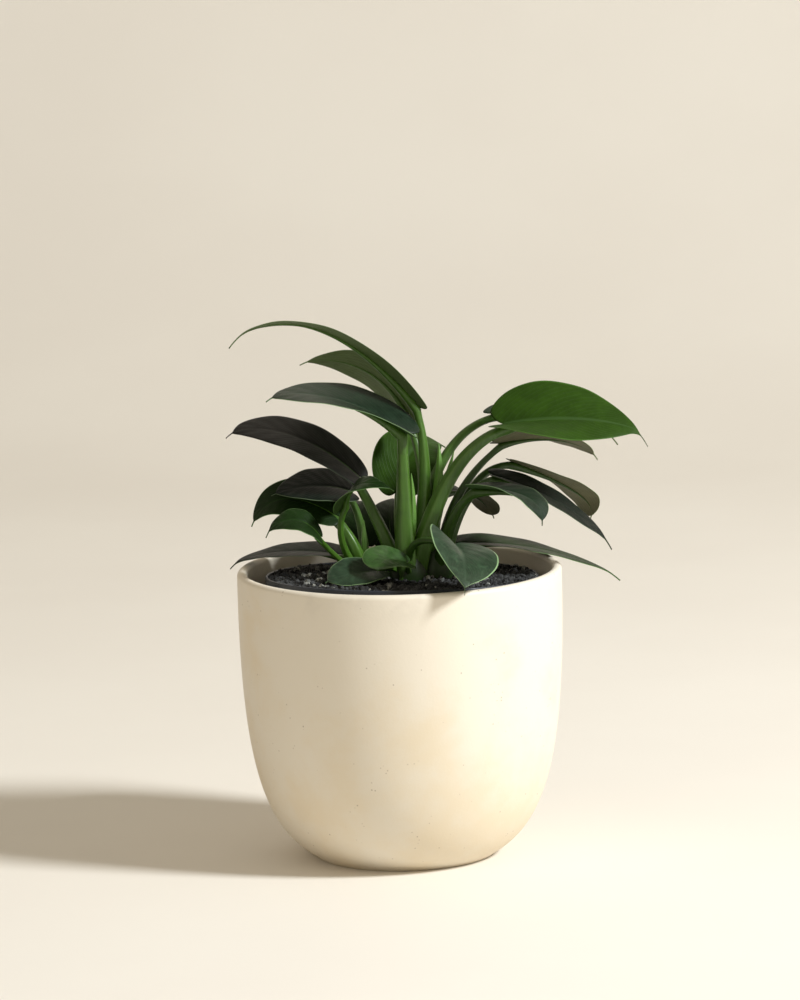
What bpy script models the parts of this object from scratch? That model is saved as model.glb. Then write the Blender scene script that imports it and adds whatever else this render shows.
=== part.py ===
"""A philodendron in a plastic grow pot, standing in a round-bottomed ceramic cover pot.

Metres, +Z up, the floor at z = 0, the front towards -Y. Every leaf is one row of LEAVES.
"""

import math
import random
from collections import namedtuple

import bpy
from mathutils import Matrix, Vector, noise

SEED = 7
GAP = 0.0003
TURN_STEPS = 36

# Ceramic cover pot
RIM_RADIUS = 0.075
POT_HEIGHT = 0.1345
WALL = 0.0045
FOOT_RADIUS = 0.041
FLOOR = 0.010
BOWL_RADIUS = 0.065
BOWL_CENTRE = 0.058

# Plastic grow pot, which leans a little inside the bowl
GROW_RIM_RADIUS = 0.0632
GROW_FOOT_RADIUS = 0.047
GROW_RIM_CENTRE = 0.1302
GROW_WALL = 0.0011
GROW_FLANGE = 0.008
GROW_FLANGE_STEP = 0.0022
LEAN = math.radians(3.5)
LEAN_HEADING = math.radians(75)
DRAIN_HOLES = 8
DRAIN_RADIUS = 0.004
DRAIN_RING = 0.033

# Potting mix and its grit
SOIL_DROP = 0.0005
SOIL_RELIEF = 0.0011
GRIT_COUNT = 52
GRIT_RADIUS = (0.0014, 0.0030)
GRIT_SPACING = 0.0048

# Crowns: short stems that stand in the soil and carry the leaf stalks
Crown = namedtuple("Crown", "axes radius top")
CROWNS = {
    "main": Crown(((0.004, -0.007), (0.016, 0.001)), 0.0095, 0.145),
    "left": Crown(((-0.0145, -0.002),), 0.0070, 0.139),
}
CROWN_FOOT = 0.104
STALK_START = 0.131
STALK_SPREAD = 0.0032
STALK_SIDES = 7
NECK = 0.008
JOINT_STEP = 0.02

# Leaf blades: thickness, rows and columns of the mesh, then the rib under the blade. SHOULDER and
# LOBE shape the start of the outline; the blade narrows until TAIL, and the midrib's last part,
# from HOOK on, is a drip point with POINT as half its width.
BLADE = 0.0009
STATIONS = 10
ACROSS = 4
KEEL_END = 0.8
KEEL_SIDES = 5
SHOULDER = 0.05
LOBE = 0.14
TAIL = 0.95
HOOK = 0.88
POINT = 0.0011

# A leaf: its crown and axis, the stalk's middle and its radius at either end, then the midrib's
# start, middle and tip, the way its upper side faces at the start and at the tip, its width, how
# fast it narrows, the rise of each half as a slope and the drop of the very tip.
LEAF_FIELDS = "crown axis mid stalk base crest tip face_base face_tip width taper fold drip"
Leaf = namedtuple("Leaf", LEAF_FIELDS)
LEAVES = {
    "leaf_01": Leaf(
        "main", 0, mid=(0.0125, -0.003, 0.175), stalk=(0.0056, 0.0019),
        base=(0.011, 0.000, 0.209), crest=(-0.0330, -0.004, 0.2460), tip=(-0.0755, -0.006, 0.2440),
        face_base=(0, 0.25, 1), face_tip=(0, 0.35, 1), width=0.018, taper=0.9, fold=0.2, drip=0.005),
    "leaf_02": Leaf(
        "main", 0, mid=(0.012, 0.007, 0.167), stalk=(0.0044, 0.0016),
        base=(0.007, 0.017, 0.201), crest=(-0.014, 0.031, 0.2225), tip=(-0.044, 0.033, 0.227),
        face_base=(0, 0.7, 0.8), face_tip=(0, 0.7, 0.8), width=0.030, taper=0.9, fold=0.14, drip=0.002),
    "leaf_03": Leaf(
        "main", 0, mid=(0.003, -0.012, 0.165), stalk=(0.0066, 0.0025),
        base=(0.0045, -0.012, 0.199), crest=(-0.028, -0.014, 0.2155), tip=(-0.059, -0.018, 0.2185),
        face_base=(0, -0.15, 1), face_tip=(0, -0.15, 1), width=0.040, taper=0.65, fold=0.3, drip=0.003),
    "leaf_04": Leaf(
        "main", 0, mid=(-0.010, -0.005, 0.158), stalk=(0.0042, 0.0022),
        base=(-0.018, -0.002, 0.178), crest=(-0.047, -0.006, 0.1978), tip=(-0.078, -0.010, 0.202),
        face_base=(0, -0.4, 1), face_tip=(0, -0.4, 1), width=0.031, taper=0.65, fold=0.10, drip=0.004),
    "leaf_05": Leaf(
        "left", 0, mid=(-0.0175, 0.004, 0.154), stalk=(0.0030, 0.0016),
        base=(-0.0225, 0.003, 0.1702), crest=(-0.0382, -0.003, 0.1737), tip=(-0.0580, -0.009, 0.1717),
        face_base=(0, -0.45, 1), face_tip=(0, -0.45, 1), width=0.03, taper=0.75, fold=0.10, drip=0.001),
    "leaf_06": Leaf(
        "left", 0, mid=(-0.026, -0.015, 0.150), stalk=(0.0022, 0.0014),
        base=(-0.0250, -0.020, 0.1670), crest=(-0.0170, -0.029, 0.1780), tip=(-0.0015, -0.034, 0.1765),
        face_base=(-0.3, -0.3, 1), face_tip=(0.2, -0.3, 1), width=0.020, taper=0.9, fold=0.15, drip=0.001),
    "leaf_07": Leaf(
        "left", 0, mid=(-0.021, -0.009, 0.147), stalk=(0.0042, 0.0024),
        base=(-0.0285, -0.006, 0.1600), crest=(-0.052, -0.002, 0.1680), tip=(-0.0675, -0.006, 0.1570),
        face_base=(0, -0.8, 1), face_tip=(-0.9, -0.6, 0.3), width=0.0225, taper=0.7, fold=0.08, drip=0.001),
    "leaf_08": Leaf(
        "left", 0, mid=(-0.027, -0.012, 0.1405), stalk=(0.0018, 0.0012),
        base=(-0.036, -0.024, 0.1540), crest=(-0.0465, -0.029, 0.1625), tip=(-0.0605, -0.029, 0.1585),
        face_base=(0, -0.5, 1), face_tip=(-0.8, -0.5, 0.6), width=0.017, taper=0.7, fold=0.08, drip=0.004),
    "leaf_09": Leaf(
        "left", 0, mid=(-0.022, 0.006, 0.137), stalk=(0.0018, 0.0013),
        base=(-0.028, 0.011, 0.139), crest=(-0.054, 0.020, 0.1395), tip=(-0.0785, 0.014, 0.1360),
        face_base=(0, -0.1, 1), face_tip=(-0.4, -0.1, 1), width=0.024, taper=0.8, fold=0.15, drip=0.003),
    "leaf_10": Leaf(
        "main", 0, mid=(0.000, 0.016, 0.151), stalk=(0.0030, 0.0018),
        base=(0.001, 0.026, 0.1675), crest=(0.008, 0.034, 0.1845), tip=(0.023, 0.050, 0.183),
        face_base=(0, -1, 0.3), face_tip=(0.2, -0.4, 1), width=0.031, taper=0.8, fold=0.12, drip=0.001),
    "leaf_11": Leaf(
        "main", 0, mid=(0.025, -0.010, 0.178), stalk=(0.0056, 0.0025),
        base=(0.050, -0.008, 0.201), crest=(0.083, -0.014, 0.2035), tip=(0.1150, -0.018, 0.1985),
        face_base=(0, -0.4, 1), face_tip=(0, -0.8, 1), width=0.046, taper=1.0, fold=0.4, drip=0.008),
    "leaf_12": Leaf(
        "main", 1, mid=(0.027, 0.004, 0.164), stalk=(0.0032, 0.0015),
        base=(0.048, 0.008, 0.190), crest=(0.073, 0.012, 0.1905), tip=(0.093, 0.014, 0.183),
        face_base=(0, 0.3, 1), face_tip=(0, 0.3, 1), width=0.030, taper=0.6, fold=0.22, drip=0.003),
    "leaf_13": Leaf(
        "main", 0, mid=(0.0205, 0.006, 0.181), stalk=(0.0040, 0.0018),
        base=(0.046, 0.018, 0.2025), crest=(0.074, 0.026, 0.203), tip=(0.103, 0.026, 0.188),
        face_base=(0, 0.2, 1), face_tip=(0, 0.2, 1), width=0.026, taper=0.9, fold=0.3, drip=0.003),
    "leaf_14": Leaf(
        "main", 1, mid=(0.034, 0.010, 0.168), stalk=(0.0036, 0.0017),
        base=(0.054, 0.018, 0.1795), crest=(0.0835, 0.024, 0.1635), tip=(0.0895, 0.021, 0.1525),
        face_base=(0, 0.1, 1), face_tip=(1, 0.8, 0.2), width=0.022, taper=0.4, fold=0.1, drip=0.001),
    "leaf_15": Leaf(
        "main", 1, mid=(0.030, 0.001, 0.162), stalk=(0.0040, 0.0020),
        base=(0.045, -0.002, 0.176), crest=(0.072, -0.003, 0.1645), tip=(0.098, -0.008, 0.1455),
        face_base=(0, -0.1, 1), face_tip=(0.3, -0.2, 1), width=0.024, taper=0.8, fold=0.2, drip=0.004),
    "leaf_16": Leaf(
        "main", 1, mid=(0.025, -0.013, 0.158), stalk=(0.0040, 0.0021),
        base=(0.0350, -0.020, 0.1735), crest=(0.0585, -0.029, 0.1705), tip=(0.0655, -0.035, 0.160),
        face_base=(0, 0.15, 1), face_tip=(0.6, -0.4, 0.6), width=0.024, taper=0.7, fold=0.25, drip=0.002),
    "leaf_17": Leaf(
        "main", 1, mid=(0.018, 0.020, 0.152), stalk=(0.0028, 0.0016),
        base=(0.023, 0.028, 0.165), crest=(0.036, 0.036, 0.161), tip=(0.045, 0.042, 0.150),
        face_base=(0, -0.2, 1), face_tip=(0.5, 0.6, 0.8), width=0.022, taper=0.4, fold=0.20, drip=0.001),
    "leaf_18": Leaf(
        "main", 0, mid=(0.008, -0.021, 0.149), stalk=(0.0024, 0.0014),
        base=(0.0250, -0.036, 0.1505), crest=(0.0290, -0.060, 0.1480), tip=(0.0290, -0.084, 0.1395),
        face_base=(0.55, -0.1, 1), face_tip=(0.5, -0.6, 1), width=0.036, taper=0.85, fold=0.32, drip=0.004),
    "leaf_19": Leaf(
        "main", 1, mid=(0.020, 0.010, 0.140), stalk=(0.0024, 0.0015),
        base=(0.028, 0.015, 0.142), crest=(0.064, 0.026, 0.1370), tip=(0.103, 0.028, 0.1235),
        face_base=(0, -0.1, 1), face_tip=(0.3, 0, 1), width=0.026, taper=0.9, fold=0.15, drip=0.003),
    "leaf_20": Leaf(
        "main", 0, mid=(0.004, -0.020, 0.138), stalk=(0.0018, 0.0012),
        base=(0.003, -0.025, 0.141), crest=(-0.006, -0.032, 0.1435), tip=(-0.010, -0.039, 0.140),
        face_base=(-0.2, -0.5, 1), face_tip=(-0.2, -0.7, 1), width=0.025, taper=0.6, fold=0.15, drip=0.001),
    "leaf_21": Leaf(
        "main", 0, mid=(-0.004, -0.016, 0.137), stalk=(0.0018, 0.0012),
        base=(-0.010, -0.021, 0.1365), crest=(-0.021, -0.029, 0.1370), tip=(-0.034, -0.035, 0.1350),
        face_base=(0, -0.4, 1), face_tip=(0, -0.4, 1), width=0.025, taper=0.6, fold=0.20, drip=0.001),
    "leaf_22": Leaf(
        "left", 0, mid=(-0.017, 0.007, 0.139), stalk=(0.0018, 0.0013),
        base=(-0.016, 0.013, 0.144), crest=(-0.020, 0.026, 0.157), tip=(-0.023, 0.044, 0.159),
        face_base=(0, -0.8, 0.6), face_tip=(0, -0.4, 1), width=0.020, taper=0.8, fold=0.15, drip=0.001),
    "leaf_23": Leaf(
        "main", 0, mid=(-0.002, 0.012, 0.139), stalk=(0.0018, 0.0013),
        base=(-0.003, 0.018, 0.142), crest=(-0.004, 0.028, 0.154), tip=(-0.002, 0.046, 0.160),
        face_base=(0, -0.9, 0.4), face_tip=(0, -0.5, 1), width=0.022, taper=0.8, fold=0.15, drip=0.001),
}

# New leaves still rolled up: pointed shoots fused with the crown that they rise from
Shoot = namedtuple("Shoot", "crown start mid tip radius")
SHOOTS = (
    Shoot("main", (0.013, -0.003, 0.140), (0.0185, -0.003, 0.168), (0.0195, -0.001, 0.192), 0.0034),
    Shoot("main", (0.016, 0.000, 0.150), (0.0225, 0.001, 0.174), (0.0265, 0.000, 0.188), 0.0022),
    Shoot("main", (0.006, -0.010, 0.150), (0.0068, -0.012, 0.166), (0.0065, -0.012, 0.180), 0.0020),
    Shoot("left", (-0.015, -0.004, 0.132), (-0.0158, -0.006, 0.147), (-0.0158, -0.007, 0.158), 0.0022),
)


def collection(name):
    made = bpy.data.collections.new(name)
    bpy.context.scene.collection.children.link(made)
    return made


def material(name, colour, roughness):
    made = bpy.data.materials.new(name)
    made.use_nodes = True
    shader = made.node_tree.nodes["Principled BSDF"]
    shader.inputs["Base Color"].default_value = (*colour, 1)
    shader.inputs["Roughness"].default_value = roughness
    return made


def mesh_object(name, points, faces, home, edges=()):
    mesh = bpy.data.meshes.new(name)
    mesh.from_pydata([tuple(p) for p in points], edges, faces)
    mesh.update()
    made = bpy.data.objects.new(name, mesh)
    home.objects.link(made)
    return made


def apply_modifiers(item):
    """Give the object the mesh that its modifiers make, and drop the modifiers."""
    bpy.context.view_layer.update()
    graph = bpy.context.evaluated_depsgraph_get()
    made = bpy.data.meshes.new_from_object(item.evaluated_get(graph))
    item.modifiers.clear()
    item.data = made
    return item


def boolean(item, others, operation, solver="EXACT"):
    """Join or cut the object with every object of a collection, then remove them."""
    tool = item.modifiers.new("boolean", "BOOLEAN")
    tool.operation = operation
    tool.operand_type = "COLLECTION"
    tool.collection = others
    tool.solver = solver
    apply_modifiers(item)
    for other in list(others.objects):
        bpy.data.objects.remove(other)
    bpy.data.collections.remove(others)
    return item


def turned(name, profile, home, steps=TURN_STEPS):
    """A solid turned about Z from (radius, height) pairs that run from axis to axis."""
    edges = [(i, i + 1) for i in range(len(profile) - 1)]
    made = mesh_object(name, [(r, 0, z) for r, z in profile], [], home, edges)
    screw = made.modifiers.new("turn", "SCREW")
    screw.steps = screw.render_steps = steps
    screw.use_merge_vertices = True
    screw.merge_threshold = 0.00005
    return apply_modifiers(made)


def bezier(a, b, c, d, count):
    """Points along a cubic curve, both ends included."""
    spots = []
    for i in range(count + 1):
        t = i / count
        spots.append(tuple((1 - t) ** 3 * p + 3 * (1 - t) ** 2 * t * q + 3 * (1 - t) * t * t * r + t**3 * s
                           for p, q, r, s in zip(a, b, c, d)))
    return spots


def arc(centre, radius, start, end, count):
    """(radius, height) points along a circle, angles in degrees from +X."""
    spots = []
    for i in range(count + 1):
        angle = math.radians(start + (end - start) * i / count)
        spots.append((centre[0] + radius * math.cos(angle), centre[1] + radius * math.sin(angle)))
    return spots


def cover_pot(home):
    lip = WALL / 2
    lip_z = POT_HEIGHT - lip
    inner_rim = RIM_RADIUS - WALL
    floor_edge = math.degrees(math.asin((FLOOR - BOWL_CENTRE) / BOWL_RADIUS))
    profile = [(0, FLOOR)]
    profile += arc((0, BOWL_CENTRE), BOWL_RADIUS, floor_edge, 0, 5)
    bowl_edge = (BOWL_RADIUS, BOWL_CENTRE)
    inner_wall = bezier(bowl_edge, (0.0668, 0.080), (inner_rim, 0.105), (inner_rim, lip_z), 4)
    profile += inner_wall[1:]
    profile += arc((RIM_RADIUS - lip, lip_z), lip, 180, 0, 5)[1:]
    foot_edge = (FOOT_RADIUS + 0.0015, 0.0012)
    profile += bezier((RIM_RADIUS, lip_z), (0.0755, 0.045), (0.066, 0.0145), foot_edge, 11)[1:]
    profile += [(FOOT_RADIUS, 0), (0, 0)]
    return turned("ceramic_pot", profile, home)


def lean_matrix():
    """The grow pot's place: its base ring stays on the bowl's sphere while the pot leans."""
    centre = Vector((0, 0, BOWL_CENTRE))
    axis = Vector((-math.sin(LEAN_HEADING), math.cos(LEAN_HEADING), 0))
    return Matrix.Translation(centre) @ Matrix.Rotation(LEAN, 4, axis) @ Matrix.Translation(-centre)


def grow_base():
    """Height of the grow pot's foot, where its edge meets the bowl."""
    return BOWL_CENTRE - math.sqrt((BOWL_RADIUS - 2 * GAP) ** 2 - GROW_FOOT_RADIUS**2)


def grow_pot(home):
    base, rim = grow_base(), GROW_RIM_CENTRE
    body = GROW_RIM_RADIUS - GROW_FLANGE_STEP
    flange = rim - GROW_FLANGE
    profile = [(0, base + GROW_WALL), (GROW_FOOT_RADIUS - GROW_WALL, base + GROW_WALL)]
    profile += [(body - GROW_WALL, flange - 0.001), (GROW_RIM_RADIUS - GROW_WALL, flange + 0.001)]
    profile += [(GROW_RIM_RADIUS - GROW_WALL, rim), (GROW_RIM_RADIUS, rim), (GROW_RIM_RADIUS, flange)]
    profile += [(body, flange), (GROW_FOOT_RADIUS, base), (0, base)]
    made = turned("nursery_pot", profile, home)
    drills = collection("drills")
    for i in range(DRAIN_HOLES):
        angle = 2 * math.pi * i / DRAIN_HOLES
        bpy.ops.mesh.primitive_cylinder_add(
            vertices=12, radius=DRAIN_RADIUS, depth=0.01,
            location=(DRAIN_RING * math.cos(angle), DRAIN_RING * math.sin(angle), base))
        move_to(bpy.context.object, drills)
    boolean(made, drills, "DIFFERENCE")
    made.data.transform(lean_matrix())
    return made


def move_to(item, home):
    for other in list(item.users_collection):
        other.objects.unlink(item)
    home.objects.link(item)


def soil_relief(x, y):
    return SOIL_RELIEF * noise.noise(Vector((x, y, 0)) * 90)


def soil_body(home):
    """The potting mix: a plug that fills the grow pot, with an uneven top."""
    base = grow_base() + GROW_WALL + GAP
    top = GROW_RIM_CENTRE - SOIL_DROP
    foot = GROW_FOOT_RADIUS - GROW_WALL - 3 * GAP
    neck = GROW_RIM_RADIUS - GROW_FLANGE_STEP - GROW_WALL - 3 * GAP
    brim = GROW_RIM_RADIUS - GROW_WALL - 2 * GAP
    flange = GROW_RIM_CENTRE - GROW_FLANGE
    rings = [(brim * k / 8, top) for k in range(1, 8)]
    rings += [(brim, top - 0.001), (brim, flange + 0.0022), (neck, flange + 0.0004), (foot, base)]
    steps = 28
    points = [(0, 0, top)]
    for k, (r, z) in enumerate(rings):
        for i in range(steps):
            angle = 2 * math.pi * (i + 0.5 * (k % 2) * (k < 7)) / steps
            x, y = r * math.cos(angle), r * math.sin(angle)
            points.append((x, y, z + (soil_relief(x, y) if k < 7 else 0)))
    points.append((0, 0, base))
    faces = [(0, 1 + i, 1 + (i + 1) % steps) for i in range(steps)]
    for k in range(len(rings) - 1):
        a, b = 1 + k * steps, 1 + (k + 1) * steps
        for i in range(steps):
            j = (i + 1) % steps
            faces += [(a + i, b + i, b + j), (a + i, b + j, a + j)]
    last = 1 + (len(rings) - 1) * steps
    faces += [(len(points) - 1, last + (i + 1) % steps, last + i) for i in range(steps)]
    return mesh_object("soil", points, faces, home)


def grit_places():
    """Seeded spots for the grit, apart from one another, the crowns and the low front leaf."""
    draw = random.Random(SEED)
    spots = []
    brim = GROW_RIM_RADIUS - GROW_WALL - GRIT_RADIUS[1] - 0.001
    while len(spots) < GRIT_COUNT:
        r, angle = brim * math.sqrt(draw.random()), draw.uniform(0, 2 * math.pi)
        x, y = r * math.cos(angle), r * math.sin(angle)
        clear = all(math.hypot(x - ax, y - ay) > crown.radius + 0.004
                    for crown in CROWNS.values() for ax, ay in crown.axes)
        low = LEAVES["leaf_21"]
        clear = clear and math.hypot(x - low.crest[0], y - low.crest[1]) > 0.021
        if clear and all(math.hypot(x - sx, y - sy) > GRIT_SPACING for sx, sy, _ in spots):
            spots.append((x, y, draw.uniform(*GRIT_RADIUS)))
    return spots, draw


def grit_into(soil):
    """Fuse angular chips of grit into the soil's top, sunk by about half."""
    chips = collection("chips")
    spots, draw = grit_places()
    for x, y, radius in spots:
        z = GROW_RIM_CENTRE - SOIL_DROP + soil_relief(x, y) + radius * 0.15
        bpy.ops.mesh.primitive_ico_sphere_add(subdivisions=1, radius=radius, location=(0, 0, 0))
        chip = bpy.context.object
        move_to(chip, chips)
        for vertex in chip.data.vertices:
            vertex.co *= draw.uniform(0.75, 1.2)
        axis = Vector((draw.uniform(-1, 1), draw.uniform(-1, 1), 1))
        turn = Matrix.Rotation(draw.uniform(0, 6.28), 4, axis)
        flat = Matrix.Diagonal((draw.uniform(0.8, 1.3), 1, draw.uniform(0.6, 1), 1))
        chip.data.transform(Matrix.Translation((x, y, z)) @ turn @ flat)
    return boolean(soil, chips, "UNION")


def soil(home):
    made = grit_into(soil_body(home))
    made.data.transform(lean_matrix())
    holes = collection("holes")
    for crown in CROWNS.values():
        for x, y in crown.axes:
            place = (x, y, CROWN_FOOT + 0.03 - GAP)
            radius = crown.radius + 2 * GAP
            bpy.ops.mesh.primitive_cylinder_add(vertices=24, radius=radius, depth=0.06, location=place)
            move_to(bpy.context.object, holes)
    return boolean(made, holes, "DIFFERENCE")


def through(a, b, c):
    """A parabola that passes a at 0, b at one half and c at 1, as a function of t."""
    a, b, c = Vector(a), Vector(b), Vector(c)
    return lambda t: a * (2 * (t - 0.5) * (t - 1)) + b * (4 * t * (1 - t)) + c * (2 * t * (t - 0.5))


def tube(name, spots, radii, sides, home):
    """A closed tapering tube: a curve with a round bevel, made a mesh and welded."""
    curve = bpy.data.curves.new(name, "CURVE")
    curve.dimensions = "3D"
    curve.bevel_depth = 1.0
    curve.bevel_resolution = max(0, (sides - 4) // 2)
    curve.use_fill_caps = True
    line = curve.splines.new("POLY")
    line.points.add(len(spots) - 1)
    for point, spot, radius in zip(line.points, spots, radii):
        point.co = (*spot, 1)
        point.radius = radius
    holder = bpy.data.objects.new(name, curve)
    home.objects.link(holder)
    bpy.context.view_layer.update()
    mesh = bpy.data.meshes.new_from_object(holder.evaluated_get(bpy.context.evaluated_depsgraph_get()))
    home.objects.unlink(holder)
    bpy.data.objects.remove(holder)
    made = bpy.data.objects.new(name, mesh)
    home.objects.link(made)
    weld = made.modifiers.new("weld", "WELD")
    weld.merge_threshold = 0.00001
    return apply_modifiers(made)


class Shape:
    """The curves of one leaf: its stalk, its midrib and the points of its blade."""

    def __init__(self, leaf):
        self.leaf = leaf
        self.base = Vector(leaf.base)
        self.rib = through(leaf.base, leaf.crest, leaf.tip)
        self.length = sum((self.rib((i + 1) / 20) - self.rib(i / 20)).length for i in range(20))
        ax, ay = CROWNS[leaf.crown].axes[leaf.axis]
        away = Vector((leaf.mid[0] - ax, leaf.mid[1] - ay, 0))
        foot = Vector((ax, ay, STALK_START)) + away.normalized() * min(STALK_SPREAD, away.length)
        self.stalk = through(foot, leaf.mid, self.keel(0))

    def along(self, t):
        return (self.rib(min(t + 0.01, 1)) - self.rib(max(t - 0.01, 0))).normalized()

    def up(self, t):
        face = Vector(self.leaf.face_base).lerp(Vector(self.leaf.face_tip), min(max(t, 0), 1))
        ahead = self.along(min(max(t, 0), 1))
        return (face - ahead * face.dot(ahead)).normalized()

    def spot(self, t):
        """A point of the midrib; before the start it goes on straight, at the tip it drips."""
        if t < 0:
            return self.base + self.along(0) * (t * self.length)
        hook = max(0, (t - HOOK) / (1 - HOOK)) ** 2
        return self.rib(t) - Vector((0, 0, self.leaf.drip * (0.35 * t**8 + 0.65 * hook)))

    def half_width(self, t):
        """Half the blade's width, which ends a little before the tip in a thin point."""
        taper = self.leaf.taper
        widest = (0.5 * TAIL - taper * SHOULDER) / (0.5 + taper)
        peak = math.sqrt(widest + SHOULDER) * (1 - widest / TAIL) ** taper
        body = self.leaf.width / 2 * math.sqrt(t + SHOULDER) * max(0, 1 - t / TAIL) ** taper / peak
        return math.hypot(body, POINT * (1 - t) ** 0.6)

    def point(self, t, v):
        """A point of the blade: t from start to tip, v from one margin (-1) to the other (1)."""
        lobe = LOBE * self.leaf.width / self.length
        swept = t - lobe * math.sin(0.75 * math.pi * abs(v) ** 0.8) * (1 - t) ** 2
        up = self.up(t)
        side = self.along(min(max(t, 0), 1)).cross(up)
        reach = self.half_width(t) * v
        fold = self.leaf.fold * (1.6 - 2 * t)
        rise = fold * abs(reach) * (1 - 0.25 * abs(v)) / math.hypot(1, fold / 2)
        return self.spot(swept) + side * reach / math.hypot(1, fold) + up * rise

    def keel_radius(self, t):
        return self.leaf.stalk[1] * (0.6 * (1 - t) ** 6 + 0.4 * (1 - t)) + 0.0003

    def keel(self, t):
        return self.spot(t) - self.up(t) * (self.keel_radius(t) - 0.0002)


def stalk_tube(name, shape, home):
    """The leaf's stalk from inside the crown to just short of its neck."""
    count = 8
    stop = 1 - (NECK + GAP) / stalk_length(shape)
    wide, thin = shape.leaf.stalk
    steps = [i / count for i in range(count)] + [1 - JOINT_STEP, 1]
    spots = [shape.stalk(stop * s) for s in steps]
    radii = [wide + (thin - wide) * s**0.8 for s in steps]
    return tube(name, spots, radii, STALK_SIDES, home)


def stalk_length(shape):
    return sum((shape.stalk((i + 1) / 20) - shape.stalk(i / 20)).length for i in range(20))


def crown_solid(name, crown, home):
    """The short stem, or two grown together, with a rounded top."""
    parts = collection("stem_parts")
    first = None
    for x, y in crown.axes:
        height = crown.top - CROWN_FOOT
        profile = [(0, height), (crown.radius * 0.55, height - 0.001), (crown.radius * 0.8, height - 0.005)]
        profile += [(crown.radius, height - 0.012), (crown.radius, 0.003), (crown.radius * 0.7, 0), (0, 0)]
        made = turned(name, profile, parts if first else home, 16)
        made.data.transform(Matrix.Translation((x, y, CROWN_FOOT)))
        first = first or made
    if parts.objects:
        boolean(first, parts, "UNION")
    else:
        bpy.data.collections.remove(parts)
    return first


def stems(crown_name, home):
    """A crown with the stalks of all its leaves, grown together as one piece."""
    name = "stems_" + crown_name
    made = crown_solid(name, CROWNS[crown_name], home)
    stalks = collection("stalks")
    for leaf_name, leaf in LEAVES.items():
        if leaf.crown == crown_name:
            stalk_tube("stalk_" + leaf_name, Shape(leaf), stalks)
    for i, data in enumerate(SHOOTS):
        if data.crown == crown_name:
            shoot(f"shoot_{i}", data, stalks)
    return boolean(made, stalks, "UNION")


def blade(name, shape, home):
    """The leaf's sheet: rows of points split into triangles alike on both faces."""
    rows = [i / STATIONS - 0.06 * math.sin(2 * math.pi * i / STATIONS) for i in range(STATIONS)]
    points = [shape.point(t, 2 * j / ACROSS - 1) for t in rows for j in range(ACROSS + 1)]
    points.append(shape.spot(1))
    faces = []
    wide = ACROSS + 1
    for i in range(STATIONS - 1):
        for j in range(ACROSS):
            a, b = i * wide + j, i * wide + j + 1
            c, d = a + wide, b + wide
            faces += [(a, c, d), (a, d, b)] if j >= ACROSS / 2 else [(a, c, b), (b, c, d)]
    last = (STATIONS - 1) * wide
    faces += [(last + j, len(points) - 1, last + j + 1) for j in range(ACROSS)]
    made = mesh_object(name, points, faces, home)
    sheet = made.modifiers.new("sheet", "SOLIDIFY")
    sheet.thickness = BLADE
    sheet.offset = 0
    return apply_modifiers(made)


def leaf_solid(name, leaf, home):
    """One leaf: its sheet, fused with the neck and the rib that runs on under it."""
    shape = Shape(leaf)
    made = blade(name, shape, home)
    ribs = collection("ribs")
    reach = NECK / stalk_length(shape)
    spots = [shape.stalk(1 - reach), shape.stalk(1 - reach + JOINT_STEP), shape.stalk(1 - reach / 2)]
    radii = [leaf.stalk[1], leaf.stalk[1], leaf.stalk[1] + 0.0001]
    for i in range(7):
        t = KEEL_END * i / 6
        spots.append(shape.keel(t))
        radii.append(shape.keel_radius(t))
    tube("rib_" + name, spots, radii, KEEL_SIDES, ribs)
    return boolean(made, ribs, "UNION")


def shoot(name, data, home):
    path = through(data.start, data.mid, data.tip)
    count = 6
    spots = [path(i / count) for i in range(count + 1)]
    radii = [data.radius * s for s in (0.8, 1, 0.95, 0.8, 0.6, 0.35, 0.08)]
    return tube(name, spots, radii, 7, home)


def build():
    for item in list(bpy.data.objects):
        bpy.data.objects.remove(item)
    home = collection("potted_philodendron")
    made = [(cover_pot(home), material("glazed ceramic", (0.80, 0.72, 0.60), 0.6))]
    made.append((grow_pot(home), material("black plastic", (0.03, 0.035, 0.045), 0.5)))
    made.append((soil(home), material("potting mix", (0.04, 0.035, 0.03), 0.95)))
    for crown in CROWNS:
        made.append((stems(crown, home), material("stalks " + crown, (0.16, 0.34, 0.06), 0.4)))
    for name, leaf in LEAVES.items():
        made.append((leaf_solid(name, leaf, home), material("blade " + name, (0.03, 0.10, 0.03), 0.35)))
    for item, look in made:
        item.data.materials.clear()
        item.data.materials.append(look)
        print(item.name, len(item.data.polygons))


build()
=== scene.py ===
# %% [markdown]
# # A potted philodendron
# This lesson dresses a finished CAD model of a small house plant. The plant grows in a black plastic
# grow pot, and that stands inside a round-bottomed ceramic cover pot. The CAD model gives every
# piece its place. Here each one gets a finer shape of the same form, and the finish of the real
# thing: waxy leaves with pale margins, juicy stalks, loose potting mix and a matte glaze.

# %% Load the frame
import math
import random
from collections import namedtuple

import bpy
from mathutils import Matrix, Vector, noise


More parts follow.
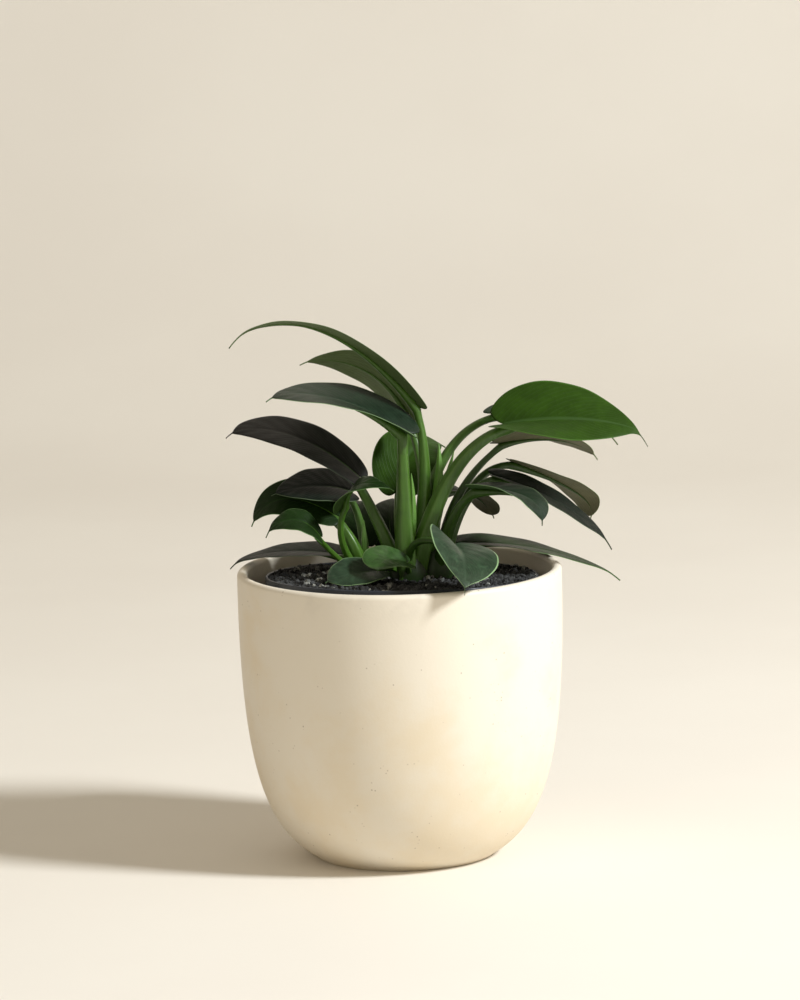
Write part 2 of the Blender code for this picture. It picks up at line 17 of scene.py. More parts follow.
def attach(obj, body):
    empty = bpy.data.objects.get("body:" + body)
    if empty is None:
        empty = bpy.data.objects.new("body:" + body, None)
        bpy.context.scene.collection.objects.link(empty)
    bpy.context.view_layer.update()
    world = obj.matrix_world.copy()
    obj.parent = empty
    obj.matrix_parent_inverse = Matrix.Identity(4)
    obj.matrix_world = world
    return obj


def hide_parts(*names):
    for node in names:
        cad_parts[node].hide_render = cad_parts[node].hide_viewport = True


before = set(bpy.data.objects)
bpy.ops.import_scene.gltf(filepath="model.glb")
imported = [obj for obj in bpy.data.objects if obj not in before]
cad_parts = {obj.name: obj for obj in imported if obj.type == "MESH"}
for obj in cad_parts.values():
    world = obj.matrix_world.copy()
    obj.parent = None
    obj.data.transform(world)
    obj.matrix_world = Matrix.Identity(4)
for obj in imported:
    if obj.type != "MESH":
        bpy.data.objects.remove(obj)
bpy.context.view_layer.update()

# %% [markdown]
# ## Wires
# Both materials and Geometry Nodes are graphs of small nodes. Writing them as sums keeps them
# readable, so one class wraps a socket and turns Python's own signs into nodes: numbers go through
# Math nodes, vectors and colours through Vector Math. A tree wrapper has one method that adds any
# other node.

# %% Socket wrapper
def feed(tree, socket, value):
    """Link a wire to the socket, or write a plain value into it."""
    if isinstance(value, Wire):
        tree.links.new(value.socket, socket)
    elif socket.type == "RGBA" and len(value) == 3:
        socket.default_value = (*value, 1)
    elif socket.type == "VECTOR" and isinstance(value, (int, float)):
        socket.default_value = (value,) * len(socket.default_value)
    else:
        socket.default_value = value


class Wire:
    """The output of a node, which takes part in sums."""

    def __init__(self, tree, socket):
        self.tree, self.socket = tree, socket

    @property
    def wide(self):
        return self.socket.type in ("VECTOR", "RGBA")

    def maths(self, operation, *values):
        wide = any(isinstance(v, Wire) and v.wide or isinstance(v, (tuple, Vector)) for v in values)
        node = self.tree.nodes.new("ShaderNodeVectorMath" if wide else "ShaderNodeMath")
        node.operation = operation
        for socket, value in zip(node.inputs, values):
            feed(self.tree, socket, value)
        return Wire(self.tree, node.outputs[0])

    def number(self, operation, other):
        """A Vector Math node that gives a number, such as a dot product."""
        node = self.tree.nodes.new("ShaderNodeVectorMath")
        node.operation = operation
        feed(self.tree, node.inputs[0], self)
        feed(self.tree, node.inputs[1], other)
        return Wire(self.tree, node.outputs["Value"])

    def __add__(self, other):
        return self.maths("ADD", self, other)

    def __radd__(self, other):
        return self.maths("ADD", other, self)

    def __sub__(self, other):
        return self.maths("SUBTRACT", self, other)

    def __rsub__(self, other):
        return self.maths("SUBTRACT", other, self)

    def __mul__(self, other):
        return self.maths("MULTIPLY", self, other)

    def __rmul__(self, other):
        return self.maths("MULTIPLY", other, self)

    def __truediv__(self, other):
        return self.maths("DIVIDE", self, other)

    def __pow__(self, other):
        return self.maths("POWER", self, other)

    def __abs__(self):
        return self.maths("ABSOLUTE", self)

    def __neg__(self):
        return self * -1.0

    def sine(self):
        return self.maths("SINE", self)

    def cosine(self):
        return self.maths("COSINE", self)

    def root(self):
        return self.maths("SQRT", self)

    def least(self, other):
        return self.maths("MINIMUM", self, other)

    def most(self, other):
        return self.maths("MAXIMUM", self, other)

    def dot(self, other):
        return self.number("DOT_PRODUCT", other)

    def cross(self, other):
        return self.maths("CROSS_PRODUCT", self, other)

    def unit(self):
        return self.maths("NORMALIZE", self)

    def step(self, low, high):
        """0 below low, 1 above high, and a smooth rise between them."""
        node = self.tree.nodes.new("ShaderNodeMapRange")
        node.interpolation_type = "SMOOTHSTEP"
        for name, value in (("Value", self), ("From Min", low), ("From Max", high)):
            feed(self.tree, node.inputs[name], value)
        return Wire(self.tree, node.outputs[0])


# %% Tree wrapper
class Tree:
    """A node graph, with one method that adds any node to it."""

    def __init__(self, graph):
        self.graph = graph

    def add(self, kind, settings=None, sockets=None, out=0):
        """Make a node, set its settings, then its sockets, and give the wire of one output."""
        node = self.graph.nodes.new(kind)
        for name, value in (settings or {}).items():
            if name == "stops":
                ramp = node.color_ramp.elements
                while len(ramp) < len(value):
                    ramp.new(0.5)
                for stop, (place, colour) in zip(ramp, value):
                    stop.position, stop.color = place, (*colour, 1)
            else:
                setattr(node, name, value)
        for name, value in (sockets or {}).items():
            socket = node.inputs[name] if isinstance(name, int) else self.shown(node.inputs, name)
            for one in value if isinstance(value, list) else [value]:
                feed(self.graph, socket, one)
        return Wire(self.graph, node.outputs[out] if isinstance(out, int) else self.shown(node.outputs, out))

    @staticmethod
    def shown(sockets, name):
        return next(s for s in sockets if s.name == name and s.enabled)

    def mix(self, share, a, b):
        """A colour that goes from a to b as share goes from 0 to 1."""
        node = self.graph.nodes.new("ShaderNodeMix")
        node.data_type = "RGBA"
        for socket, value in ((node.inputs[0], share), (node.inputs[6], a), (node.inputs[7], b)):
            feed(self.graph, socket, value)
        return Wire(self.graph, node.outputs[2])

    def noise(self, place, scale, detail=3.0, rough=0.5, distortion=0.0):
        sockets = {"Vector": place, "Scale": scale, "Detail": detail, "Roughness": rough,
                   "Distortion": distortion}
        return self.add("ShaderNodeTexNoise", None, sockets)


# %% [markdown]
# ## Sizes and the leaves
# The leaves were read one by one from the photo, so they are rows of named numbers. A row says
# where the midrib starts, crests and ends, how wide the blade is and how it folds. The pots and the
# crowns are plain measures. All lengths are metres, and the floor is at height 0.

# %% Driving sizes
SEED = 7
TURN_STEPS = 128

RIM_RADIUS = 0.075
POT_HEIGHT = 0.1345
WALL = 0.0045
FOOT_RADIUS = 0.041
FLOOR = 0.010
BOWL_RADIUS = 0.065
BOWL_CENTRE = 0.058

GROW_RIM_RADIUS = 0.0632
GROW_FOOT_RADIUS = 0.047
GROW_RIM_CENTRE = 0.1302
GROW_WALL = 0.0011
GROW_FLANGE = 0.008
GROW_FLANGE_STEP = 0.0022
LEAN = math.radians(3.5)
LEAN_HEADING = math.radians(75)
DRAIN_HOLES = 8
DRAIN_RADIUS = 0.004
DRAIN_RING = 0.033

SOIL_DROP = 0.0005
SOIL_RELIEF = 0.0011
GRIT_COUNT = 52
GRIT_RADIUS = (0.0014, 0.0030)
GRIT_SPACING = 0.0048

Crown = namedtuple("Crown", "axes radius top")
CROWNS = {
    "main": Crown(((0.004, -0.007), (0.016, 0.001)), 0.0095, 0.145),
    "left": Crown(((-0.0145, -0.002),), 0.0070, 0.139),
}
CROWN_FOOT = 0.104
STALK_START = 0.131
STALK_SPREAD = 0.0032
NECK = 0.008
GAP = 0.0003
SHOULDER = 0.05
LOBE = 0.14
TAIL = 0.95
HOOK = 0.88
POINT = 0.0011

# %% Leaf rows
# A leaf: its crown and axis, the stalk's middle and its radius at either end, then the midrib's
# start, middle and tip, the way its upper side faces at the start and at the tip, its width, how
# fast it narrows, the rise of each half as a slope and the drop of the very tip.
LEAF_FIELDS = "crown axis mid stalk base crest tip face_base face_tip width taper fold drip"
Leaf = namedtuple("Leaf", LEAF_FIELDS)
LEAVES = {
    "leaf_01": Leaf(
        "main", 0, mid=(0.0125, -0.003, 0.175), stalk=(0.0056, 0.0019),
        base=(0.011, 0.000, 0.209), crest=(-0.0330, -0.004, 0.2460), tip=(-0.0755, -0.006, 0.2440),
        face_base=(0, 0.25, 1), face_tip=(0, 0.35, 1), width=0.018, taper=0.9, fold=0.2, drip=0.005),
    "leaf_02": Leaf(
        "main", 0, mid=(0.012, 0.007, 0.167), stalk=(0.0044, 0.0016),
        base=(0.007, 0.017, 0.201), crest=(-0.014, 0.031, 0.2225), tip=(-0.044, 0.033, 0.227),
        face_base=(0, 0.7, 0.8), face_tip=(0, 0.7, 0.8), width=0.030, taper=0.9, fold=0.14, drip=0.002),
    "leaf_03": Leaf(
        "main", 0, mid=(0.003, -0.012, 0.165), stalk=(0.0066, 0.0025),
        base=(0.0045, -0.012, 0.199), crest=(-0.028, -0.014, 0.2155), tip=(-0.059, -0.018, 0.2185),
        face_base=(0, -0.15, 1), face_tip=(0, -0.15, 1), width=0.040, taper=0.65, fold=0.3, drip=0.003),
    "leaf_04": Leaf(
        "main", 0, mid=(-0.010, -0.005, 0.158), stalk=(0.0042, 0.0022),
        base=(-0.018, -0.002, 0.178), crest=(-0.047, -0.006, 0.1978), tip=(-0.078, -0.010, 0.202),
        face_base=(0, -0.4, 1), face_tip=(0, -0.4, 1), width=0.031, taper=0.65, fold=0.10, drip=0.004),
    "leaf_05": Leaf(
        "left", 0, mid=(-0.0175, 0.004, 0.154), stalk=(0.0030, 0.0016),
        base=(-0.0225, 0.003, 0.1702), crest=(-0.0382, -0.003, 0.1737), tip=(-0.0580, -0.009, 0.1717),
        face_base=(0, -0.45, 1), face_tip=(0, -0.45, 1), width=0.03, taper=0.75, fold=0.10, drip=0.001),
    "leaf_06": Leaf(
        "left", 0, mid=(-0.026, -0.015, 0.150), stalk=(0.0022, 0.0014),
        base=(-0.0250, -0.020, 0.1670), crest=(-0.0170, -0.029, 0.1780), tip=(-0.0015, -0.034, 0.1765),
        face_base=(-0.3, -0.3, 1), face_tip=(0.2, -0.3, 1), width=0.020, taper=0.9, fold=0.15, drip=0.001),
    "leaf_07": Leaf(
        "left", 0, mid=(-0.021, -0.009, 0.147), stalk=(0.0042, 0.0024),
        base=(-0.0285, -0.006, 0.1600), crest=(-0.052, -0.002, 0.1680), tip=(-0.0675, -0.006, 0.1570),
        face_base=(0, -0.8, 1), face_tip=(-0.9, -0.6, 0.3), width=0.0225, taper=0.7, fold=0.08, drip=0.001),
    "leaf_08": Leaf(
        "left", 0, mid=(-0.027, -0.012, 0.1405), stalk=(0.0018, 0.0012),
        base=(-0.036, -0.024, 0.1540), crest=(-0.0465, -0.029, 0.1625), tip=(-0.0605, -0.029, 0.1585),
        face_base=(0, -0.5, 1), face_tip=(-0.8, -0.5, 0.6), width=0.017, taper=0.7, fold=0.08, drip=0.004),
    "leaf_09": Leaf(
        "left", 0, mid=(-0.022, 0.006, 0.137), stalk=(0.0018, 0.0013),
        base=(-0.028, 0.011, 0.139), crest=(-0.054, 0.020, 0.1395), tip=(-0.0785, 0.014, 0.1360),
        face_base=(0, -0.1, 1), face_tip=(-0.4, -0.1, 1), width=0.024, taper=0.8, fold=0.15, drip=0.003),
    "leaf_10": Leaf(
        "main", 0, mid=(0.000, 0.016, 0.151), stalk=(0.0030, 0.0018),
        base=(0.001, 0.026, 0.1675), crest=(0.008, 0.034, 0.1845), tip=(0.023, 0.050, 0.183),
        face_base=(0, -1, 0.3), face_tip=(0.2, -0.4, 1), width=0.031, taper=0.8, fold=0.12, drip=0.001),
    "leaf_11": Leaf(
        "main", 0, mid=(0.025, -0.010, 0.178), stalk=(0.0056, 0.0025),
        base=(0.050, -0.008, 0.201), crest=(0.083, -0.014, 0.2035), tip=(0.1150, -0.018, 0.1985),
        face_base=(0, -0.4, 1), face_tip=(0, -0.8, 1), width=0.046, taper=1.0, fold=0.4, drip=0.008),
    "leaf_12": Leaf(
        "main", 1, mid=(0.027, 0.004, 0.164), stalk=(0.0032, 0.0015),
        base=(0.048, 0.008, 0.190), crest=(0.073, 0.012, 0.1905), tip=(0.093, 0.014, 0.183),
        face_base=(0, 0.3, 1), face_tip=(0, 0.3, 1), width=0.030, taper=0.6, fold=0.22, drip=0.003),
    "leaf_13": Leaf(
        "main", 0, mid=(0.0205, 0.006, 0.181), stalk=(0.0040, 0.0018),
        base=(0.046, 0.018, 0.2025), crest=(0.074, 0.026, 0.203), tip=(0.103, 0.026, 0.188),
        face_base=(0, 0.2, 1), face_tip=(0, 0.2, 1), width=0.026, taper=0.9, fold=0.3, drip=0.003),
    "leaf_14": Leaf(
        "main", 1, mid=(0.034, 0.010, 0.168), stalk=(0.0036, 0.0017),
        base=(0.054, 0.018, 0.1795), crest=(0.0835, 0.024, 0.1635), tip=(0.0895, 0.021, 0.1525),
        face_base=(0, 0.1, 1), face_tip=(1, 0.8, 0.2), width=0.022, taper=0.4, fold=0.1, drip=0.001),
    "leaf_15": Leaf(
        "main", 1, mid=(0.030, 0.001, 0.162), stalk=(0.0040, 0.0020),
        base=(0.045, -0.002, 0.176), crest=(0.072, -0.003, 0.1645), tip=(0.098, -0.008, 0.1455),
        face_base=(0, -0.1, 1), face_tip=(0.3, -0.2, 1), width=0.024, taper=0.8, fold=0.2, drip=0.004),
    "leaf_16": Leaf(
        "main", 1, mid=(0.025, -0.013, 0.158), stalk=(0.0040, 0.0021),
        base=(0.0350, -0.020, 0.1735), crest=(0.0585, -0.029, 0.1705), tip=(0.0655, -0.035, 0.160),
        face_base=(0, 0.15, 1), face_tip=(0.6, -0.4, 0.6), width=0.024, taper=0.7, fold=0.25, drip=0.002),
    "leaf_17": Leaf(
        "main", 1, mid=(0.018, 0.020, 0.152), stalk=(0.0028, 0.0016),
        base=(0.023, 0.028, 0.165), crest=(0.036, 0.036, 0.161), tip=(0.045, 0.042, 0.150),
        face_base=(0, -0.2, 1), face_tip=(0.5, 0.6, 0.8), width=0.022, taper=0.4, fold=0.20, drip=0.001),
    "leaf_18": Leaf(
        "main", 0, mid=(0.008, -0.021, 0.149), stalk=(0.0024, 0.0014),
        base=(0.0250, -0.036, 0.1505), crest=(0.0290, -0.060, 0.1480), tip=(0.0290, -0.084, 0.1395),
        face_base=(0.55, -0.1, 1), face_tip=(0.5, -0.6, 1), width=0.036, taper=0.85, fold=0.32, drip=0.004),
    "leaf_19": Leaf(
        "main", 1, mid=(0.020, 0.010, 0.140), stalk=(0.0024, 0.0015),
        base=(0.028, 0.015, 0.142), crest=(0.064, 0.026, 0.1370), tip=(0.103, 0.028, 0.1235),
        face_base=(0, -0.1, 1), face_tip=(0.3, 0, 1), width=0.026, taper=0.9, fold=0.15, drip=0.003),
    "leaf_20": Leaf(
        "main", 0, mid=(0.004, -0.020, 0.138), stalk=(0.0018, 0.0012),
        base=(0.003, -0.025, 0.141), crest=(-0.006, -0.032, 0.1435), tip=(-0.010, -0.039, 0.140),
        face_base=(-0.2, -0.5, 1), face_tip=(-0.2, -0.7, 1), width=0.025, taper=0.6, fold=0.15, drip=0.001),
    "leaf_21": Leaf(
        "main", 0, mid=(-0.004, -0.016, 0.137), stalk=(0.0018, 0.0012),
        base=(-0.010, -0.021, 0.1365), crest=(-0.021, -0.029, 0.1370), tip=(-0.034, -0.035, 0.1350),
        face_base=(0, -0.4, 1), face_tip=(0, -0.4, 1), width=0.025, taper=0.6, fold=0.20, drip=0.001),
    "leaf_22": Leaf(
        "left", 0, mid=(-0.017, 0.007, 0.139), stalk=(0.0018, 0.0013),
        base=(-0.016, 0.013, 0.144), crest=(-0.020, 0.026, 0.157), tip=(-0.023, 0.044, 0.159),
        face_base=(0, -0.8, 0.6), face_tip=(0, -0.4, 1), width=0.020, taper=0.8, fold=0.15, drip=0.001),
    "leaf_23": Leaf(
        "main", 0, mid=(-0.002, 0.012, 0.139), stalk=(0.0018, 0.0013),
        base=(-0.003, 0.018, 0.142), crest=(-0.004, 0.028, 0.154), tip=(-0.002, 0.046, 0.160),
        face_base=(0, -0.9, 0.4), face_tip=(0, -0.5, 1), width=0.022, taper=0.8, fold=0.15, drip=0.001),
}

# New leaves still rolled up: pointed shoots fused with the crown that they rise from
Shoot = namedtuple("Shoot", "crown start mid tip radius")
SHOOTS = (
    Shoot("main", (0.013, -0.003, 0.140), (0.0185, -0.003, 0.168), (0.0195, -0.001, 0.192), 0.0034),
    Shoot("main", (0.016, 0.000, 0.150), (0.0225, 0.001, 0.174), (0.0265, 0.000, 0.188), 0.0022),
    Shoot("main", (0.006, -0.010, 0.150), (0.0068, -0.012, 0.166), (0.0065, -0.012, 0.180), 0.0020),
    Shoot("left", (-0.015, -0.004, 0.132), (-0.0158, -0.006, 0.147), (-0.0158, -0.007, 0.158), 0.0022),
)

print("leaves:", len(LEAVES), "rolled shoots:", len(SHOOTS))

# %% [markdown]
# ## The midrib of a leaf
# A parabola through three points is enough for an arching midrib, and for a stalk. This class works
# out in plain Python what the node graphs need as numbers: the midrib's length, the stalk's foot
# and the points of the rib that stands out under the blade.

# %% Leaf curves
def through(a, b, c):
    """A parabola that passes a at 0, b at one half and c at 1, as a function of t."""
    a, b, c = Vector(a), Vector(b), Vector(c)
    return lambda t: a * (2 * (t - 0.5) * (t - 1)) + b * (4 * t * (1 - t)) + c * (2 * t * (t - 0.5))


def span(path):
    return sum((path((i + 1) / 20) - path(i / 20)).length for i in range(20))


class Shape:
    """The curves of one leaf: its midrib, the rib under the blade and its stalk."""

    def __init__(self, leaf):
        self.leaf = leaf
        self.base = Vector(leaf.base)
        self.rib = through(leaf.base, leaf.crest, leaf.tip)
        self.length = span(self.rib)
        ax, ay = CROWNS[leaf.crown].axes[leaf.axis]
        away = Vector((leaf.mid[0] - ax, leaf.mid[1] - ay, 0))
        foot = Vector((ax, ay, STALK_START)) + away.normalized() * min(STALK_SPREAD, away.length)
        self.stalk = through(foot, leaf.mid, self.keel(0))
        self.neck = 1 - NECK / span(self.stalk)

    def along(self, t):
        return (self.rib(min(t + 0.01, 1)) - self.rib(max(t - 0.01, 0))).normalized()

    def up(self, t):
        face = Vector(self.leaf.face_base).lerp(Vector(self.leaf.face_tip), t)
        ahead = self.along(t)
        return (face - ahead * face.dot(ahead)).normalized()

    def keel_radius(self, t):
        return self.leaf.stalk[1] * (0.6 * (1 - t) ** 6 + 0.4 * (1 - t)) + 0.0003

    def drop(self, t):
        """How far the midrib hangs below its parabola, most of it in the hook at the tip."""
        hook = max(0, (t - HOOK) / (1 - HOOK)) ** 2
        return self.leaf.drip * (0.35 * t**8 + 0.65 * hook)

    def keel(self, t):
        spot = self.rib(t) - Vector((0, 0, self.drop(t)))
        return spot - self.up(t) * (self.keel_radius(t) - 0.0002)

    def breadth(self):
        """Half the blade's width, divided by the peak of its outline formula."""
        taper = self.leaf.taper
        widest = (0.5 * TAIL - taper * SHOULDER) / (0.5 + taper)
        return self.leaf.width / 2 / (math.sqrt(widest + SHOULDER) * (1 - widest / TAIL) ** taper)


SHAPES = {name: Shape(leaf) for name, leaf in LEAVES.items()}
print("blade lengths, mm:", sorted(round(s.length * 1000) for s in SHAPES.values()))

# %% [markdown]
# ## Small helpers for meshes
# Geometry Nodes run on an object through a modifier. When the tree has done its work, the result is
# turned into a plain mesh and the modifier goes, so that every finished piece is only a mesh with
# its place in it.

# %% Mesh helpers
def mesh_piece(name, points=(), faces=(), edges=()):
    mesh = bpy.data.meshes.new(name)
    mesh.from_pydata([tuple(p) for p in points], edges, faces)
    made = bpy.data.objects.new(name, mesh)
    bpy.context.scene.collection.objects.link(made)
    return made


def bake(item):
    """Give the object the mesh that its modifiers make, and drop the modifiers."""
    bpy.context.view_layer.update()
    graph = bpy.context.evaluated_depsgraph_get()
    made = bpy.data.meshes.new_from_object(item.evaluated_get(graph))
    item.modifiers.clear()
    item.data = made
    return item


def grow(name, tree, **values):
    """Run a Geometry Nodes tree on a new object, with its named inputs set, and bake it."""
    item = mesh_piece(name)
    modifier = item.modifiers.new("nodes", "NODES")
    modifier.node_group = tree
    names = {s.name: s.identifier for s in tree.interface.items_tree if s.in_out == "INPUT"}
    for key, value in values.items():
        modifier[names[key.replace("_", " ")]] = value
    return bake(item)


def join(name, items):
    """Several objects as one, with the first one's data first."""
    with bpy.context.temp_override(active_object=items[0], selected_editable_objects=items):
        bpy.ops.object.join()
    items[0].name = items[0].data.name = name
    return items[0]


def smooth(item, angle=None):
    for face in item.data.polygons:
        face.use_smooth = True
    if angle is not None:
        item.data.set_sharp_from_angle(angle=math.radians(angle))
    return item


def inputs_of(tree, sockets):
    """Name the inputs of a Geometry Nodes tree and give their wires."""
    kinds = {"f": "NodeSocketFloat", "i": "NodeSocketInt", "v": "NodeSocketVector",
             "m": "NodeSocketMaterial", "o": "NodeSocketObject", "b": "NodeSocketBool"}
    for name, kind in sockets.items():
        tree.interface.new_socket(name=name, in_out="INPUT", socket_type=kinds[kind])
    tree.interface.new_socket(name="Geometry", in_out="OUTPUT", socket_type="NodeSocketGeometry")
    node = tree.nodes.new("NodeGroupInput")
    return {name: Wire(tree, node.outputs[name]) for name in sockets}


def output_of(tree, wire):
    node = tree.nodes.new("NodeGroupOutput")
    tree.links.new(wire.socket, node.inputs["Geometry"])


# %% [markdown]
# ## The camera
# The photo is taken from well back with a long lens, a little above the rim of the pot, and the
# camera is turned by a degree and a half about its own axis. The pitch, the roll and the distance
# follow from the ellipse of the rim and the curve of the foot.

# %% Camera
PITCH = math.radians(9.3)
ROLL = math.radians(-1.42)
DISTANCE = 2.6
AIM = Vector((0.0011, 0, 0.1658))
FOCAL = 5640 / 1000

forward = Vector((0, math.cos(PITCH), -math.sin(PITCH)))
level_up = Vector((1, 0, 0)).cross(forward)
camera_right = Vector((1, 0, 0)) * math.cos(ROLL) + level_up * math.sin(ROLL)
camera_up = level_up * math.cos(ROLL) - Vector((1, 0, 0)) * math.sin(ROLL)
turn = Matrix((camera_right, camera_up, -forward)).transposed().to_4x4()

camera_data = bpy.data.cameras.new("camera")
camera_data.sensor_width = 36
camera_data.lens = 36 * FOCAL
camera_data.clip_end = 50
camera = bpy.data.objects.new("camera", camera_data)
camera.matrix_world = Matrix.Translation(AIM - forward * DISTANCE) @ turn
bpy.context.scene.collection.objects.link(camera)
bpy.context.scene.camera = camera
print("lens", round(camera_data.lens, 1), "mm")

# %% [markdown]
# ## Floor and light
# A pale sheet lies under the pot and curves up behind it, so that no horizon line shows. One large
# lamp from the upper right makes the soft shadow that falls to the left, and a weak warm sky fills
# the rest.

# %% Floor
def studio_floor():
    depth, bend, height, half = 1.1, 0.9, 3.0, 4.0
    line = [(-6.0, 0), (depth, 0)]
    line += [(depth + bend * math.sin(a), bend - bend * math.cos(a))
             for a in [math.pi / 2 * i / 24 for i in range(1, 25)]]
    line.append((depth + bend, height))
    points = [(x, y, z) for y, z in line for x in (-half, half)]
    faces = [(2 * i, 2 * i + 1, 2 * i + 3, 2 * i + 2) for i in range(len(line) - 1)]
    return smooth(mesh_piece("floor", points, faces))


def paper_material():
    made = bpy.data.materials.new("warm paper")
    made.use_nodes = True
    tree = Tree(made.node_tree)
    shader = made.node_tree.nodes["Principled BSDF"]
    place = tree.add("ShaderNodeTexCoord", out="Object")
    cloud = tree.noise(place, 3.0, 4.0).step(0.3, 0.7)
    colour = tree.mix(cloud, (0.80, 0.755, 0.685), (0.83, 0.79, 0.72))
    feed(made.node_tree, shader.inputs["Base Color"], colour)
    shader.inputs["Roughness"].default_value = 0.8
    return made


floor = studio_floor()
floor.data.materials.append(paper_material())

# %% Lamps
def lamp(name, place, target, size, power, colour):
    data = bpy.data.lights.new(name, "AREA")
    data.shape = "DISK"
    data.size, data.energy, data.color = size, power, colour
    made = bpy.data.objects.new(name, data)
    bpy.context.scene.collection.objects.link(made)
    made.location = place
    made.rotation_mode = "QUATERNION"
    made.rotation_quaternion = (Vector(target) - Vector(place)).to_track_quat("-Z", "Y")
    return made


lamp("key", (1.80, -0.86, 1.65), (0, 0, 0.12), 0.45, 82, (0.92, 0.95, 0.97))
lamp("fill", (-1.6, -2.2, 1.6), (0, 0, 0.12), 1.6, 5, (1, 0.93, 0.84))
world = bpy.data.worlds.new("studio")
world.use_nodes = True
world.node_tree.nodes["Background"].inputs[0].default_value = (1, 0.89, 0.71, 1)
world.node_tree.nodes["Background"].inputs[1].default_value = 0.40
bpy.context.scene.world = world
bpy.context.scene.view_settings.view_transform = "Standard"

# %% [markdown]
# ## Glaze
# The cover pot is stoneware with a thin matte cream glaze. Close up it isn't one colour: it has a
# faint grey cast in patches near the rim and pin-head specks of iron, and it is a little warmer near
# the foot, which is a painted reflection of the warm floor.

# %% Ceramic material
def new_material(name, roughness, coat=0.0, gleam=0.5):
    made = bpy.data.materials.new(name)
    made.use_nodes = True
    shader = made.node_tree.nodes["Principled BSDF"]
    shader.inputs["Roughness"].default_value = roughness
    shader.inputs["Coat Weight"].default_value = coat
    shader.inputs["Specular IOR Level"].default_value = gleam
    return made, Tree(made.node_tree), shader


def bump(tree, height, strength, distance):
    return tree.add("ShaderNodeBump", None, {"Height": height, "Strength": strength, "Distance": distance},
                    "Normal")


def glaze():
    made, tree, shader = new_material("cream glaze", 0.5)
    place = tree.add("ShaderNodeTexCoord", out="Object")
    height = tree.add("ShaderNodeSeparateXYZ", None, {0: place}, "Z")
    cloud = tree.noise(place, 22.0, 5.0, 0.6)
    grain = tree.noise(place, 900.0, 2.0, 0.6)
    # Warmer towards the foot: a painted reflection of the warm floor, broken into soft patches.
    colour = tree.mix((cloud + height * -1.4).step(0.3, 0.62), (0.78, 0.715, 0.60), (0.76, 0.66, 0.50))
    speck = tree.add("ShaderNodeTexVoronoi", None, {"Vector": place, "Scale": 420.0}, "Distance")
    rare = tree.noise(place, 160.0, 1.0).step(0.6, 0.7)
    speck = (1 - speck.step(0.12, 0.2)) * rare
    colour = tree.mix(speck * 0.55, colour, (0.30, 0.22, 0.15))
    # Greyer patches in a band near the rim.
    rim_grey = (height - 0.118).step(0.0, 0.016) * tree.noise(place, 35.0, 4.0, 0.65).step(0.5, 0.68)
    colour = tree.mix(rim_grey * 0.22, colour, (0.42, 0.38, 0.32))
    feed(made.node_tree, shader.inputs["Base Color"], colour)
    feed(made.node_tree, shader.inputs["Roughness"], 0.44 + cloud * 0.2)
    feed(made.node_tree, shader.inputs["Normal"], bump(tree, grain + cloud * 2.0, 0.12, 0.0004))
    return made


# %% [markdown]
# ## Cover pot
# A thrown or cast pot is a solid of revolution. Its profile is a line of (radius, height) pairs from
# the floor inside, up over the rounded lip and down to the foot, and the Screw modifier turns it.

# %% Turned pieces
def turned(name, profile, steps=TURN_STEPS):
    """A solid turned about Z from (radius, height) pairs that run from axis to axis."""
    edges = [(i, i + 1) for i in range(len(profile) - 1)]
    made = mesh_piece(name, [(r, 0, z) for r, z in profile], (), edges)
    screw = made.modifiers.new("turn", "SCREW")
    screw.steps = screw.render_steps = steps
    screw.use_merge_vertices = True
    screw.merge_threshold = 0.00001
    return bake(made)


def bezier(a, b, c, d, count):
    """Points along a cubic curve, both ends included."""
    spots = []
    for i in range(count + 1):
        t = i / count
        spots.append(tuple((1 - t) ** 3 * p + 3 * (1 - t) ** 2 * t * q + 3 * (1 - t) * t * t * r + t**3 * s
                           for p, q, r, s in zip(a, b, c, d)))
    return spots


def arc(centre, radius, start, end, count):
    """(radius, height) points along a circle, angles in degrees from +X."""
    spots = []
    for i in range(count + 1):
        angle = math.radians(start + (end - start) * i / count)
        spots.append((centre[0] + radius * math.cos(angle), centre[1] + radius * math.sin(angle)))
    return spots


def cover_pot():
    lip = WALL / 2
    lip_z = POT_HEIGHT - lip
    inner_rim = RIM_RADIUS - WALL
    floor_edge = math.degrees(math.asin((FLOOR - BOWL_CENTRE) / BOWL_RADIUS))
    profile = [(0, FLOOR)]
    profile += arc((0, BOWL_CENTRE), BOWL_RADIUS, floor_edge, 0, 16)
    bowl_edge = (BOWL_RADIUS, BOWL_CENTRE)
    profile += bezier(bowl_edge, (0.0668, 0.080), (inner_rim, 0.105), (inner_rim, lip_z), 16)[1:]
    profile += arc((RIM_RADIUS - lip, lip_z), lip, 180, 0, 14)[1:]
    foot_edge = (FOOT_RADIUS + 0.0015, 0.0012)
    profile += bezier((RIM_RADIUS, lip_z), (0.0755, 0.045), (0.066, 0.0145), foot_edge, 40)[1:]
    profile += [(FOOT_RADIUS + 0.0006, 0.0003), (FOOT_RADIUS, 0), (0, 0)]
    return smooth(turned("cover_pot", profile), 50)


pot = cover_pot()
pot.data.materials.append(glaze())
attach(pot, "root")
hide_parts("ceramic_pot")
print("cover pot faces:", len(pot.data.polygons))

# %% [markdown]
# ## Grow pot
# The thin plastic pot is turned too, and drilled from below. It leans a little, because its foot
# rests in the round bowl. Moulded plastic has a fine grain and a soft shine.

# %% Grow pot
def lean_matrix():
    centre = Vector((0, 0, BOWL_CENTRE))
    axis = Vector((-math.sin(LEAN_HEADING), math.cos(LEAN_HEADING), 0))
    return Matrix.Translation(centre) @ Matrix.Rotation(LEAN, 4, axis) @ Matrix.Translation(-centre)


def grow_base():
    return BOWL_CENTRE - math.sqrt((BOWL_RADIUS - 2 * GAP) ** 2 - GROW_FOOT_RADIUS**2)


